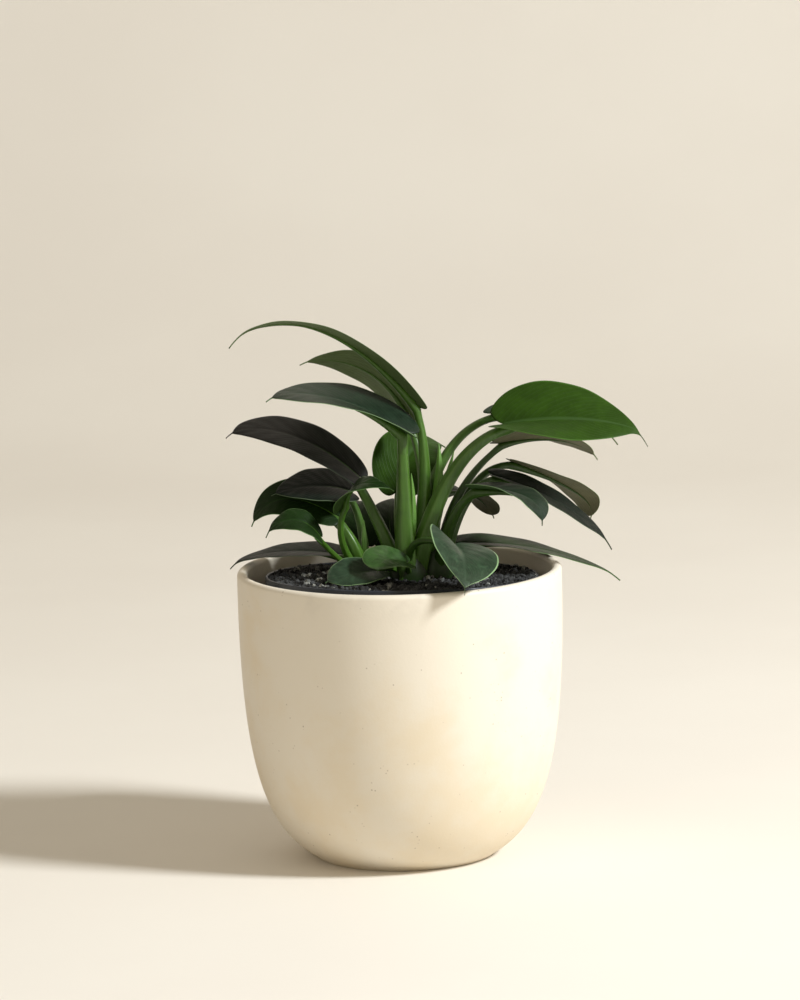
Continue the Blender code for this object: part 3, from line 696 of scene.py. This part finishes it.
def plastic():
    made, tree, shader = new_material("moulded plastic", 0.45)
    place = tree.add("ShaderNodeTexCoord", out="Object")
    grain = tree.noise(place, 1500.0, 2.0)
    dust = tree.noise(place, 60.0, 5.0, 0.7).step(0.5, 0.75)
    feed(made.node_tree, shader.inputs["Base Color"],
         tree.mix(dust * 0.5, (0.026, 0.032, 0.045), (0.085, 0.085, 0.085)))
    feed(made.node_tree, shader.inputs["Roughness"], 0.38 + dust * 0.3)
    feed(made.node_tree, shader.inputs["Normal"], bump(tree, grain, 0.2, 0.0002))
    return made


def grow_pot():
    base, rim = grow_base(), GROW_RIM_CENTRE
    body = GROW_RIM_RADIUS - GROW_FLANGE_STEP
    flange = rim - GROW_FLANGE
    inner = GROW_RIM_RADIUS - GROW_WALL
    profile = [(0, base + GROW_WALL), (GROW_FOOT_RADIUS - GROW_WALL, base + GROW_WALL)]
    profile += [(body - GROW_WALL, flange - 0.001), (inner, flange + 0.001)]
    profile += arc((inner + GROW_WALL / 2, rim - GROW_WALL / 2), GROW_WALL / 2, 180, 0, 8)
    profile += [(GROW_RIM_RADIUS, flange), (body, flange), (GROW_FOOT_RADIUS, base), (0, base)]
    made = turned("grow_pot", profile)
    drills = []
    for i in range(DRAIN_HOLES):
        angle = 2 * math.pi * i / DRAIN_HOLES
        bpy.ops.mesh.primitive_cylinder_add(
            vertices=24, radius=DRAIN_RADIUS, depth=0.01,
            location=(DRAIN_RING * math.cos(angle), DRAIN_RING * math.sin(angle), base))
        drills.append(bpy.context.object)
    drill = join("drills", drills)
    cut = made.modifiers.new("drain", "BOOLEAN")
    cut.object, cut.operation, cut.solver = drill, "DIFFERENCE", "EXACT"
    bake(made)
    bpy.data.objects.remove(drill)
    made.data.transform(lean_matrix())
    return smooth(made, 35)


nursery = grow_pot()
nursery.data.materials.append(plastic())
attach(nursery, "root")
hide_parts("nursery_pot")

# %% [markdown]
# ## Stalks
# A stalk is a tapering tube along a quadratic curve: exactly what Geometry Nodes have a curve
# primitive for. The tree sweeps a circle along it, thinner towards the blade, and stores how far
# along the stalk each point is, so that the material can fade from pale base to deep green.

# %% Stalk tree
RIDGES = 5


def stalk_tree():
    graph = bpy.data.node_groups.new("tapering stalk", "GeometryNodeTree")
    tree = Tree(graph)
    given = inputs_of(graph, {"Start": "v", "Middle": "v", "End": "v", "Thick": "f", "Thin": "f", "Ease": "f",
                              "Rings": "i", "Sides": "i", "Flute": "f", "Tone": "f", "Skin": "m"})
    curve = tree.add("GeometryNodeCurveQuadraticBezier", None,
                     {"Resolution": given["Rings"], "Start": given["Start"], "Middle": given["Middle"],
                      "End": given["End"]})
    share = tree.add("GeometryNodeSplineParameter", out="Factor")
    radius = given["Thick"] + (given["Thin"] - given["Thick"]) * share ** given["Ease"]
    curve = tree.add("GeometryNodeSetCurveRadius", None, {"Curve": curve, "Radius": radius})
    curve = store(tree, curve, "along", share)
    ring = tree.add("GeometryNodeCurvePrimitiveCircle", None, {"Resolution": given["Sides"], "Radius": 1.0})
    ridge = (tree.add("GeometryNodeSplineParameter", out="Factor") * (2 * math.pi * RIDGES)).cosine()
    ring = store(tree, ring, "ridge", ridge)
    inward = tree.add("GeometryNodeInputPosition") * (ridge - 1.0) * given["Flute"]
    ring = tree.add("GeometryNodeSetPosition", None, {"Geometry": ring, "Offset": inward})
    mesh = tree.add("GeometryNodeCurveToMesh", None,
                    {"Curve": curve, "Profile Curve": ring, "Fill Caps": True, "Scale": radius_of(tree)})
    mesh = store(tree, mesh, "tone", given["Tone"])
    mesh = tree.add("GeometryNodeSetShadeSmooth", None, {"Geometry": mesh})
    output_of(graph, tree.add("GeometryNodeSetMaterial", None, {"Geometry": mesh, "Material": given["Skin"]}))
    return graph


def radius_of(tree):
    return tree.add("GeometryNodeInputRadius")


def store(tree, geometry, name, value, domain="POINT", kind="FLOAT"):
    """Keep a value on the geometry under a name, for the material to read."""
    return tree.add("GeometryNodeStoreNamedAttribute", {"data_type": kind, "domain": domain},
                    {"Geometry": geometry, "Name": name, "Value": value})


STALK_TREE = stalk_tree()

# %% [markdown]
# ## Stalk skin
# Young stalks are grass green and paler on their ribs. The stalks of the right-hand group are darker:
# partly their older, darker skin, partly painted shade from their neighbours. Fine lengthwise
# streaks and a waxy shine make them look full of water.

# %% Stalk material
def stalk_skin():
    made, tree, shader = new_material("stalk skin", 0.36)
    place = tree.add("ShaderNodeTexCoord", out="Object")
    along = tree.add("ShaderNodeAttribute", {"attribute_name": "along"}, out="Fac")
    tone = tree.add("ShaderNodeAttribute", {"attribute_name": "tone"}, out="Fac")
    cloud = tree.noise(place, 120.0, 4.0, 0.6)
    streak = tree.noise(place * (900.0, 900.0, 60.0), 1.0, 2.0)
    ridge = tree.add("ShaderNodeAttribute", {"attribute_name": "ridge"}, out="Fac")
    # A tone under 1 darkens the green: partly darker skin, partly painted shade on the right-hand group. A tone over 1
    # pales it for new shoots.
    colour = tree.mix(tone.least(1.0), (0.012, 0.036, 0.003), (0.048, 0.122, 0.008))
    colour = tree.mix(tone.step(1.0, 1.6), colour, (0.115, 0.25, 0.045))
    colour = tree.mix(ridge.step(0.0, 1.0) * 0.3 * tone.least(1.0), colour, (0.10, 0.20, 0.035))
    colour = tree.mix(streak.step(0.35, 0.7) * 0.3 * tone.least(1.0), colour, (0.085, 0.20, 0.03))
    colour = tree.mix((1 - along).step(0.55, 1.0) * 0.3 * tone.least(1.0), colour, (0.09, 0.19, 0.035))
    colour = tree.mix(cloud.step(0.5, 0.75) * 0.3, colour, (0.02, 0.06, 0.006))
    feed(made.node_tree, shader.inputs["Base Color"], colour)
    feed(made.node_tree, shader.inputs["Roughness"], 0.3 + cloud * 0.2)
    feed(made.node_tree, shader.inputs["Normal"], bump(tree, streak, 0.25, 0.0003))
    shader.inputs["Subsurface Weight"].default_value = 0.12
    shader.inputs["Subsurface Radius"].default_value = (0.001, 0.002, 0.0006)
    return made


STALK_SKIN = stalk_skin()

# %% [markdown]
# ## Crowns
# Each crown is a short stem, and the stalks of all its leaves rise from it. The stem is turned, and
# each stalk is grown by the tree from inside the stem up to its own leaf.

# %% Stems
# The right-hand group of stalks gets a low tone: partly their own darker skin, partly painted shade from the leaves
# above.
DARK_SHADED_STALKS = ("leaf_12", "leaf_14", "leaf_15", "leaf_16", "leaf_17", "leaf_18", "leaf_19")


def control(a, through_point, b):
    """The middle handle of a quadratic curve that passes through_point halfway."""
    return 2 * Vector(through_point) - (Vector(a) + Vector(b)) / 2


def stalk_piece(name, shape):
    path = shape.stalk
    stop = shape.neck
    start, middle, end = path(0), path(stop / 2), path(stop)
    thick, thin = shape.leaf.stalk
    # The right-hand group's low tone is partly painted shade.
    return grow("stalk_" + name, STALK_TREE, Start=start, Middle=control(start, middle, end), End=end,
                Thick=thick, Thin=thin, Ease=0.8, Rings=28, Sides=30, Flute=0.05,
                Tone=0.3 if name in DARK_SHADED_STALKS else 0.9, Skin=STALK_SKIN)


def crown_piece(name, crown, x, y):
    height = crown.top - CROWN_FOOT
    profile = [(0, height), (crown.radius * 0.35, height - 0.0004), (crown.radius * 0.55, height - 0.001)]
    profile += [(crown.radius * 0.8, height - 0.005), (crown.radius * 0.95, height - 0.009)]
    profile += [(crown.radius, height - 0.012), (crown.radius, 0.003), (crown.radius * 0.7, 0), (0, 0)]
    made = turned(name, profile, 40)
    made.data.transform(Matrix.Translation((x, y, CROWN_FOOT)))
    made.data.materials.append(STALK_SKIN)
    return smooth(made)


def shoot_piece(i, data):
    return grow(f"shoot_{i}", STALK_TREE, Start=Vector(data.start),
                Middle=control(data.start, data.mid, data.tip), End=Vector(data.tip),
                Thick=data.radius, Thin=data.radius * 0.08, Ease=2.6, Rings=20, Sides=20, Flute=0.12,
                Tone=1.6, Skin=STALK_SKIN)


for crown_name, crown in CROWNS.items():
    parts = [crown_piece(f"crown_{i}", crown, x, y) for i, (x, y) in enumerate(crown.axes)]
    parts += [stalk_piece(name, shape) for name, shape in SHAPES.items() if shape.leaf.crown == crown_name]
    parts += [shoot_piece(i, data) for i, data in enumerate(SHOOTS) if data.crown == crown_name]
    stems = join(crown_name + "_stalks", parts)
    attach(stems, "root")
    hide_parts("stems_" + crown_name)
    print(stems.name, "faces:", len(stems.data.polygons))

# %% [markdown]
# ## Blades
# Every blade follows one rule, so one tree makes them all. A flat grid gives two numbers to each
# point: t runs from the base to the tip, v from one margin to the other. The midrib's parabola
# places t, the outline formula widens v, the two lobes sweep back beside the stalk, and each half
# rises as a shallow fold. The sheet is made twice, for the upper and the lower face, and the two
# meet in a thin edge at the margin. The tree also keeps t and v as a map, because veins and the
# pale margin follow them.

# %% Blade tree
def blade_tree():
    graph = bpy.data.node_groups.new("leaf blade", "GeometryNodeTree")
    tree = Tree(graph)
    given = inputs_of(graph, {"Base": "v", "Crest": "v", "Tip": "v", "Face Base": "v", "Face Tip": "v",
                              "Length": "f", "Breadth": "f", "Taper": "f", "Fold": "f", "Drip": "f", "Lobe": "f",
                              "Wave": "f", "Phase": "f", "Thickness": "f", "Rows": "i", "Columns": "i",
                              "Skin": "m"})
    grid = tree.add("GeometryNodeMeshGrid", None,
                    {"Size X": 1.0, "Size Y": 1.0, "Vertices X": given["Rows"], "Vertices Y": given["Columns"]})
    spot = tree.add("GeometryNodeInputPosition")
    step = tree.add("ShaderNodeSeparateXYZ", None, {0: spot}, "X") + 0.5
    cross = tree.add("ShaderNodeSeparateXYZ", None, {0: spot}, "Y") * -2.0
    t = step - 0.06 * (step * (2 * math.pi)).sine()
    v = cross * (1.3 - 0.3 * cross * cross)
    wide = abs(v)

    def rib(at):
        return (given["Base"] * (2 * (at - 0.5) * (at - 1)) + given["Crest"] * (4 * at * (1 - at))
                + given["Tip"] * (2 * at * (at - 0.5)))

    def along(at):
        slope = (given["Base"] * (4 * at - 3) + given["Crest"] * (4 - 8 * at) + given["Tip"] * (4 * at - 1))
        return slope.unit()

    ahead = along(t)
    face = given["Face Base"] * (1 - t) + given["Face Tip"] * t
    up = (face - ahead * face.dot(ahead)).unit()
    side = ahead.cross(up)

    back = 1 - t
    swept = t - given["Lobe"] * (wide**0.8 * (0.75 * math.pi)).sine() * back * back
    inside, before = swept.most(0.0), swept.least(0.0)
    hook = ((inside - HOOK) * (1 / (1 - HOOK))).most(0.0) ** 2.0
    fall = given["Drip"] * (inside**8.0 * 0.35 + hook * 0.65)
    drop = tree.add("ShaderNodeCombineXYZ", None, {"Z": fall * -1.0})
    centre = rib(inside) + along(t * 0.0) * (before * given["Length"]) + drop

    body = given["Breadth"] * (t + SHOULDER).root() * (1 - t * (1 / TAIL)).most(0.0) ** given["Taper"]
    tail = POINT * back**0.6
    reach = (body * body + tail * tail).root() * v
    fold = given["Fold"] * (1.6 - t * 2.0)
    rise = fold * abs(reach) * (1 - 0.25 * wide) / (1 + fold * fold * 0.25).root()
    flat = (1 + fold * fold).root()
    wave = given["Wave"] * wide**3.0 * (t * 21.0 + v * 2.0 + given["Phase"]).sine() * (t * back * 4.0)
    vein = (swept * 46.0 - wide * 9.0).cosine() * 0.00006 * (wide * (1 - wide) * 4.0)
    trough = 0.00035 * (1 - (abs(reach) / 0.0012).step(0.0, 1.0)) * (1 - t)
    place = centre + side * (reach / flat) + up * (rise + wave)
    half = given["Thickness"] * 0.5 * (1 - wide**6.0).most(0.0).root() * ((t * 60.0).least(1.0)).root()

    sheets = []
    for share, lift in ((1.0, half + vein - trough), (0.0, half * -1.0 + vein)):
        sheet = store(tree, grid, "leaf_map", tree.add("ShaderNodeCombineXYZ", None, {"X": t, "Y": v * 0.5 + 0.5}),
                      "CORNER", "FLOAT2")
        sheet = store(tree, sheet, "upper", share)
        sheet = tree.add("GeometryNodeSetPosition", None, {"Geometry": sheet, "Position": place + up * lift})
        sheets.append(sheet)
    sheets[1] = tree.add("GeometryNodeFlipFaces", None, {"Mesh": sheets[1]})
    both = tree.add("GeometryNodeJoinGeometry", None, {"Geometry": sheets})
    both = tree.add("GeometryNodeMergeByDistance", None, {"Geometry": both, "Distance": 0.000002})
    both = tree.add("GeometryNodeSetShadeSmooth", None, {"Geometry": both})
    output_of(graph, tree.add("GeometryNodeSetMaterial", None, {"Geometry": both, "Material": given["Skin"]}))
    return graph


BLADE_TREE = blade_tree()

# %% [markdown]
# ## Leaf skin
# The upper side is dark and waxy, the lower side paler and duller, with the veins showing as light
# lines. A thin translucent rim runs round the blade. Leaves differ in age, so each one gets its own
# pair of greens. Two of the looks are painted light and shade: a lighter green for the blades that the
# lamp shines through, and a near-black green for the blades deep under others.

# %% Leaf material
Look = namedtuple("Look", "upper under vein edge gloss gleam mottle")
DEEP = Look((0.007, 0.020, 0.003), (0.040, 0.080, 0.020), (0.02, 0.05, 0.012), (0.10, 0.20, 0.06), 0.32, 0.14, 0.4)
BLUE = Look((0.008, 0.018, 0.009), (0.040, 0.085, 0.025), (0.03, 0.055, 0.03), (0.20, 0.31, 0.15), 0.30, 0.22, 0.7)
NIGHT = Look((0.004, 0.004, 0.004), (0.030, 0.030, 0.025), (0.008, 0.008, 0.008), (0.02, 0.03, 0.012), 0.34, 0.30, 0.3)
# Painted shade: a near-black green for the blades deep under others.
SHADE = Look((0.003, 0.007, 0.004), (0.030, 0.045, 0.020), (0.01, 0.02, 0.012), (0.10, 0.14, 0.08), 0.36, 0.16, 0.4)
# Painted light: a lighter green for the blades that the lamp shines through.
LIT_GREEN = Look((0.018, 0.048, 0.002), (0.050, 0.105, 0.014), (0.05, 0.10, 0.03), (0.05, 0.12, 0.015), 0.42, 0.14, 0.3)
GREY = Look((0.014, 0.042, 0.008), (0.085, 0.128, 0.045), (0.04, 0.08, 0.03), (0.15, 0.22, 0.10), 0.42, 0.25, 0.4)
PURPLE = Look((0.010, 0.024, 0.010), (0.150, 0.150, 0.088), (0.05, 0.05, 0.03), (0.13, 0.18, 0.07), 0.42, 0.20, 0.4)
MOTTLED = Look((0.022, 0.042, 0.022), (0.050, 0.095, 0.030), (0.04, 0.07, 0.04), (0.24, 0.38, 0.18), 0.28, 0.40, 1.0)
SHINY = Look((0.030, 0.075, 0.016), (0.050, 0.095, 0.030), (0.05, 0.10, 0.03), (0.14, 0.26, 0.08), 0.24, 0.80, 1.0)
# In this table the lighter green of leaf_10 and leaf_11 is painted light, and the near-black of leaf_05, leaf_09 and
# leaf_15 is painted shade.
LOOKS = {
    "leaf_01": GREY, "leaf_02": GREY, "leaf_03": BLUE, "leaf_04": NIGHT, "leaf_05": SHADE,
    "leaf_06": DEEP, "leaf_07": DEEP, "leaf_08": DEEP, "leaf_09": SHADE, "leaf_10": LIT_GREEN,
    "leaf_11": LIT_GREEN, "leaf_12": PURPLE, "leaf_13": PURPLE, "leaf_14": PURPLE, "leaf_15": SHADE,
    "leaf_16": BLUE, "leaf_17": PURPLE, "leaf_18": MOTTLED, "leaf_19": DEEP, "leaf_20": SHINY,
    "leaf_21": MOTTLED, "leaf_22": DEEP, "leaf_23": DEEP,
}


def leaf_skin(name, look):
    made, tree, shader = new_material("skin of " + name, look.gloss, gleam=look.gleam)
    place = tree.add("ShaderNodeTexCoord", out="Object")
    chart = tree.add("ShaderNodeUVMap", {"uv_map": "leaf_map"})
    t = tree.add("ShaderNodeSeparateXYZ", None, {0: chart}, "X")
    v = tree.add("ShaderNodeSeparateXYZ", None, {0: chart}, "Y") * 2.0 - 1.0
    upper = tree.add("ShaderNodeAttribute", {"attribute_name": "upper"}, out="Fac").step(0.45, 0.55)
    wide = abs(v)
    cloud = tree.noise(place, 90.0, 4.0, 0.6)
    fine = tree.noise(place, 700.0, 3.0, 0.6)
    wave = (t * 110.0 - wide * 52.0 + cloud * 2.5).cosine()
    veins = wave.step(0.72, 0.98) * (1 - wide.step(0.8, 1.0)) * wide.step(0.02, 0.12)
    rib = 1 - wide.step(0.025, 0.075)
    edge = wide.step(0.945, 0.975)
    blotch = tree.noise(place, 260.0, 5.0, 0.7, 0.6)
    top = tree.mix(cloud.step(0.35, 0.7) * 0.6, look.upper, tuple(c * 1.5 for c in look.upper))
    top = tree.mix(blotch.step(0.5, 0.68) * 0.6 * look.mottle, top, tuple(c * 2.2 for c in look.upper))
    top = tree.mix(blotch.step(0.5, 0.36) * 0.5 * look.mottle, top, tuple(c * 0.45 for c in look.upper))
    top = tree.mix(veins * 0.10 + rib * 0.5, top, look.vein)
    below = tree.mix(cloud.step(0.35, 0.7) * 0.5, look.under, tuple(c * 0.7 for c in look.under))
    nerve = (wide * 34.0 + t * 12.0 + cloud * 1.2).cosine().step(0.5, 0.95) * (1 - wide.step(0.8, 1.0))
    below = tree.mix(nerve * 0.3 + veins * 0.35 + rib * 0.5, below, tuple(c * 1.5 for c in look.under))
    colour = tree.mix(upper, below, top)
    colour = tree.mix(edge, colour, look.edge)
    feed(made.node_tree, shader.inputs["Base Color"], colour)
    feed(made.node_tree, shader.inputs["Roughness"], look.gloss + (1 - upper) * 0.12 + blotch * 0.2)
    relief = veins * 0.6 + fine * 0.25 + cloud * 0.8
    feed(made.node_tree, shader.inputs["Normal"], bump(tree, relief, 0.35, 0.0004))
    return made


# %% [markdown]
# ## All the leaves
# Each leaf is one piece: its blade, and under it the neck and the rib that carry on from the stalk.
# The rib is a tube through a few points just below the blade.

# %% Rib tree
def rib_tree():
    """Sweeps a circle along the object's own points, as thick as their stored radius."""
    graph = bpy.data.node_groups.new("leaf rib", "GeometryNodeTree")
    tree = Tree(graph)
    graph.interface.new_socket(name="Points", in_out="INPUT", socket_type="NodeSocketGeometry")
    given = inputs_of(graph, {"Sides": "i", "Tone": "f", "Skin": "m"})
    node = graph.nodes.new("NodeGroupInput")
    curve = tree.add("GeometryNodeMeshToCurve", None, {"Mesh": Wire(graph, node.outputs["Points"])})
    thick = tree.add("GeometryNodeInputNamedAttribute", {"data_type": "FLOAT"}, {"Name": "thick"})
    ring = tree.add("GeometryNodeCurvePrimitiveCircle", None, {"Resolution": given["Sides"], "Radius": 1.0})
    mesh = tree.add("GeometryNodeCurveToMesh", None,
                    {"Curve": curve, "Profile Curve": ring, "Fill Caps": True, "Scale": thick})
    mesh = store(tree, mesh, "tone", given["Tone"])
    mesh = store(tree, mesh, "along", 0.8)
    mesh = tree.add("GeometryNodeSetShadeSmooth", None, {"Geometry": mesh})
    output_of(graph, tree.add("GeometryNodeSetMaterial", None, {"Geometry": mesh, "Material": given["Skin"]}))
    return graph


RIB_TREE = rib_tree()


def rib_piece(name, shape):
    reach = NECK / span(shape.stalk)
    spots = [shape.stalk(1 - reach - 0.004), shape.stalk(1 - reach * 0.6), shape.stalk(1 - reach * 0.3)]
    radii = [shape.leaf.stalk[1]] * 2 + [shape.leaf.stalk[1] + 0.0001]
    count = 24
    for i in range(count + 1):
        t = 0.93 * i / count
        spots.append(shape.keel(t))
        radii.append(shape.keel_radius(t) - 0.0003 * t)
    item = mesh_piece("rib_" + name, spots, (), [(i, i + 1) for i in range(len(spots) - 1)])
    thick = item.data.attributes.new("thick", "FLOAT", "POINT")
    thick.data.foreach_set("value", radii)
    modifier = item.modifiers.new("nodes", "NODES")
    modifier.node_group = RIB_TREE
    names = {s.name: s.identifier for s in RIB_TREE.interface.items_tree if s.in_out == "INPUT"}
    # The ribs of the right-hand group take the same low tone, which is partly painted shade.
    for key, value in {"Sides": 12, "Tone": 0.35 if name in DARK_SHADED_STALKS else 0.8, "Skin": STALK_SKIN}.items():
        modifier[names[key]] = value
    return bake(item)


# %% Leaves
for index, (name, shape) in enumerate(SHAPES.items()):
    leaf = shape.leaf
    blade = grow("blade_" + name, BLADE_TREE, Base=leaf.base, Crest=leaf.crest, Tip=leaf.tip,
                 Face_Base=leaf.face_base, Face_Tip=leaf.face_tip, Length=shape.length,
                 Breadth=shape.breadth(), Taper=leaf.taper, Fold=leaf.fold, Drip=leaf.drip,
                 Lobe=LOBE * leaf.width / shape.length, Wave=0.00018, Phase=index * 1.7, Thickness=0.00055,
                 Rows=72, Columns=33, Skin=leaf_skin(name, LOOKS[name]))
    piece = join(name.replace("leaf", "blade"), [blade, rib_piece(name, shape)])
    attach(piece, "root")
    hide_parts(name)
print("leaf faces:", len(piece.data.polygons), "each")

# %% [markdown]
# ## Potting mix
# The mix is a plug of soil with an uneven top. Its look comes from loose bits: thousands of dark
# crumbs, and pale chips of pumice in between. The plug is a mesh by formula, and Geometry Nodes
# scatter the bits on it.

# %% Soil plug
def soil_relief(x, y):
    return SOIL_RELIEF * noise.noise(Vector((x, y, 0)) * 90)


def soil_plug():
    base = grow_base() + GROW_WALL + GAP
    top = GROW_RIM_CENTRE - SOIL_DROP
    foot = GROW_FOOT_RADIUS - GROW_WALL - 3 * GAP
    neck = GROW_RIM_RADIUS - GROW_FLANGE_STEP - GROW_WALL - 3 * GAP
    brim = GROW_RIM_RADIUS - GROW_WALL - 2 * GAP
    flange = GROW_RIM_CENTRE - GROW_FLANGE
    rings = [(brim * k / 40, top) for k in range(1, 40)]
    count = len(rings)
    rings += [(brim, top - 0.001), (brim, flange + 0.0022), (neck, flange + 0.0004), (foot, base)]
    steps = 120
    points = [(0, 0, top)]
    for k, (r, z) in enumerate(rings):
        for i in range(steps):
            angle = 2 * math.pi * i / steps
            x, y = r * math.cos(angle), r * math.sin(angle)
            fine = 0.0006 * noise.noise(Vector((x, y, 5)) * 420)
            points.append((x, y, z + (soil_relief(x, y) + fine - 0.0006 if k < count else 0)))
    points.append((0, 0, base))
    faces = [(0, 1 + i, 1 + (i + 1) % steps) for i in range(steps)]
    for k in range(len(rings) - 1):
        a, b = 1 + k * steps, 1 + (k + 1) * steps
        faces += [(a + i, b + i, b + (i + 1) % steps, a + (i + 1) % steps) for i in range(steps)]
    last = 1 + (len(rings) - 1) * steps
    faces += [(len(points) - 1, last + (i + 1) % steps, last + i) for i in range(steps)]
    made = mesh_piece("potting_mix", points, faces)
    made.data.transform(lean_matrix())
    return smooth(made, 60)


def soil_skin():
    made, tree, shader = new_material("damp potting mix", 0.9)
    place = tree.add("ShaderNodeTexCoord", out="Object")
    cloud = tree.noise(place, 260.0, 5.0, 0.7)
    colour = tree.mix(cloud.step(0.35, 0.7), (0.008, 0.007, 0.006), (0.035, 0.028, 0.022))
    feed(made.node_tree, shader.inputs["Base Color"], colour)
    feed(made.node_tree, shader.inputs["Roughness"], 0.75 + cloud * 0.2)
    feed(made.node_tree, shader.inputs["Normal"], bump(tree, cloud, 0.8, 0.001))
    return made


mix_plug = soil_plug()
mix_plug.data.materials.append(soil_skin())
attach(mix_plug, "root")
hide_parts("soil")

# %% Scatter tree
def scatter_tree():
    graph = bpy.data.node_groups.new("loose bits", "GeometryNodeTree")
    tree = Tree(graph)
    given = inputs_of(graph, {"Ground": "o", "Density": "f", "Spacing": "f", "Smallest": "f", "Largest": "f",
                              "Roughen": "f", "Patch": "f", "Seed": "i", "Skin": "m"})
    ground = tree.add("GeometryNodeObjectInfo", None, {"Object": given["Ground"]}, "Geometry")
    normal = tree.add("GeometryNodeInputNormal")
    spot = tree.add("GeometryNodeInputPosition")
    high = tree.add("ShaderNodeSeparateXYZ", None, {0: spot}, "Z")
    facing = tree.add("ShaderNodeSeparateXYZ", None, {0: normal}, "Z")
    top = tree.add("FunctionNodeCompare", {"operation": "GREATER_THAN"}, {"A": facing * high, "B": 0.07})
    patch = tree.noise(spot, 45.0, 1.0).step(given["Patch"], given["Patch"] + 0.08)
    points = tree.add("GeometryNodeDistributePointsOnFaces", {"distribute_method": "POISSON"},
                      {"Mesh": ground, "Selection": top, "Distance Min": given["Spacing"],
                       "Density Max": given["Density"], "Density Factor": patch, "Seed": given["Seed"]})
    size = tree.add("FunctionNodeRandomValue", {"data_type": "FLOAT"},
                    {"Min": 0.0, "Max": 1.0, "Seed": given["Seed"] + 1.0}, "Value")
    size = given["Smallest"] + (given["Largest"] - given["Smallest"]) * size**2.2
    turned_by = tree.add("FunctionNodeRandomValue", {"data_type": "FLOAT_VECTOR"},
                         {"Min": (-3.0, -3.0, -3.0), "Max": (3.0, 3.0, 3.0), "Seed": given["Seed"] + 2.0}, "Value")
    shape = tree.add("FunctionNodeRandomValue", {"data_type": "FLOAT_VECTOR"},
                     {"Min": (0.8, 0.6, 0.45), "Max": (1.3, 1.0, 0.9), "Seed": given["Seed"] + 3.0}, "Value")
    ball = tree.add("GeometryNodeMeshIcoSphere", None, {"Radius": 1.0, "Subdivisions": 2}, "Mesh")
    bits = tree.add("GeometryNodeInstanceOnPoints", None,
                    {"Points": points, "Instance": ball, "Rotation": turned_by, "Scale": shape * size})
    bits = tree.add("GeometryNodeRealizeInstances", None, {"Geometry": bits})
    dent = tree.add("ShaderNodeTexNoise", None, {"Vector": spot, "Scale": given["Roughen"], "Detail": 1.0},
                    "Color")
    push = (dent - (0.5, 0.5, 0.5)) * (given["Largest"] * 0.9)
    bits = tree.add("GeometryNodeSetPosition", None, {"Geometry": bits, "Offset": push})
    output_of(graph, tree.add("GeometryNodeSetMaterial", None, {"Geometry": bits, "Material": given["Skin"]}))
    return graph


SCATTER_TREE = scatter_tree()


def bit_skin(name, dark, pale, rough):
    made, tree, shader = new_material(name, rough)
    place = tree.add("ShaderNodeTexCoord", out="Object")
    lump = tree.noise(place, 320.0, 2.0, 0.6)
    fine = tree.noise(place, 2500.0, 2.0)
    colour = tree.mix(lump.step(0.38, 0.62), dark, pale)
    feed(made.node_tree, shader.inputs["Base Color"], tree.mix(fine.step(0.4, 0.7) * 0.3, colour, dark))
    feed(made.node_tree, shader.inputs["Normal"], bump(tree, fine, 0.5, 0.0003))
    return made


crumbs = grow("soil_crumbs", SCATTER_TREE, Ground=mix_plug, Density=900000.0, Spacing=0.0012, Smallest=0.0004,
              Largest=0.0021, Roughen=900.0, Patch=-1.0, Seed=3,
              Skin=bit_skin("bark crumbs", (0.007, 0.007, 0.007), (0.05, 0.052, 0.052), 0.85))
chips = grow("pale_grit", SCATTER_TREE, Ground=mix_plug, Density=60000.0, Spacing=0.0030, Smallest=0.0008,
             Largest=0.0026, Roughen=600.0, Patch=0.48, Seed=11,
             Skin=bit_skin("pumice chips", (0.09, 0.095, 0.09), (0.38, 0.38, 0.34), 0.9))
for bits in (crumbs, chips):
    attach(bits, "root")
    print(bits.name, "faces:", len(bits.data.polygons))
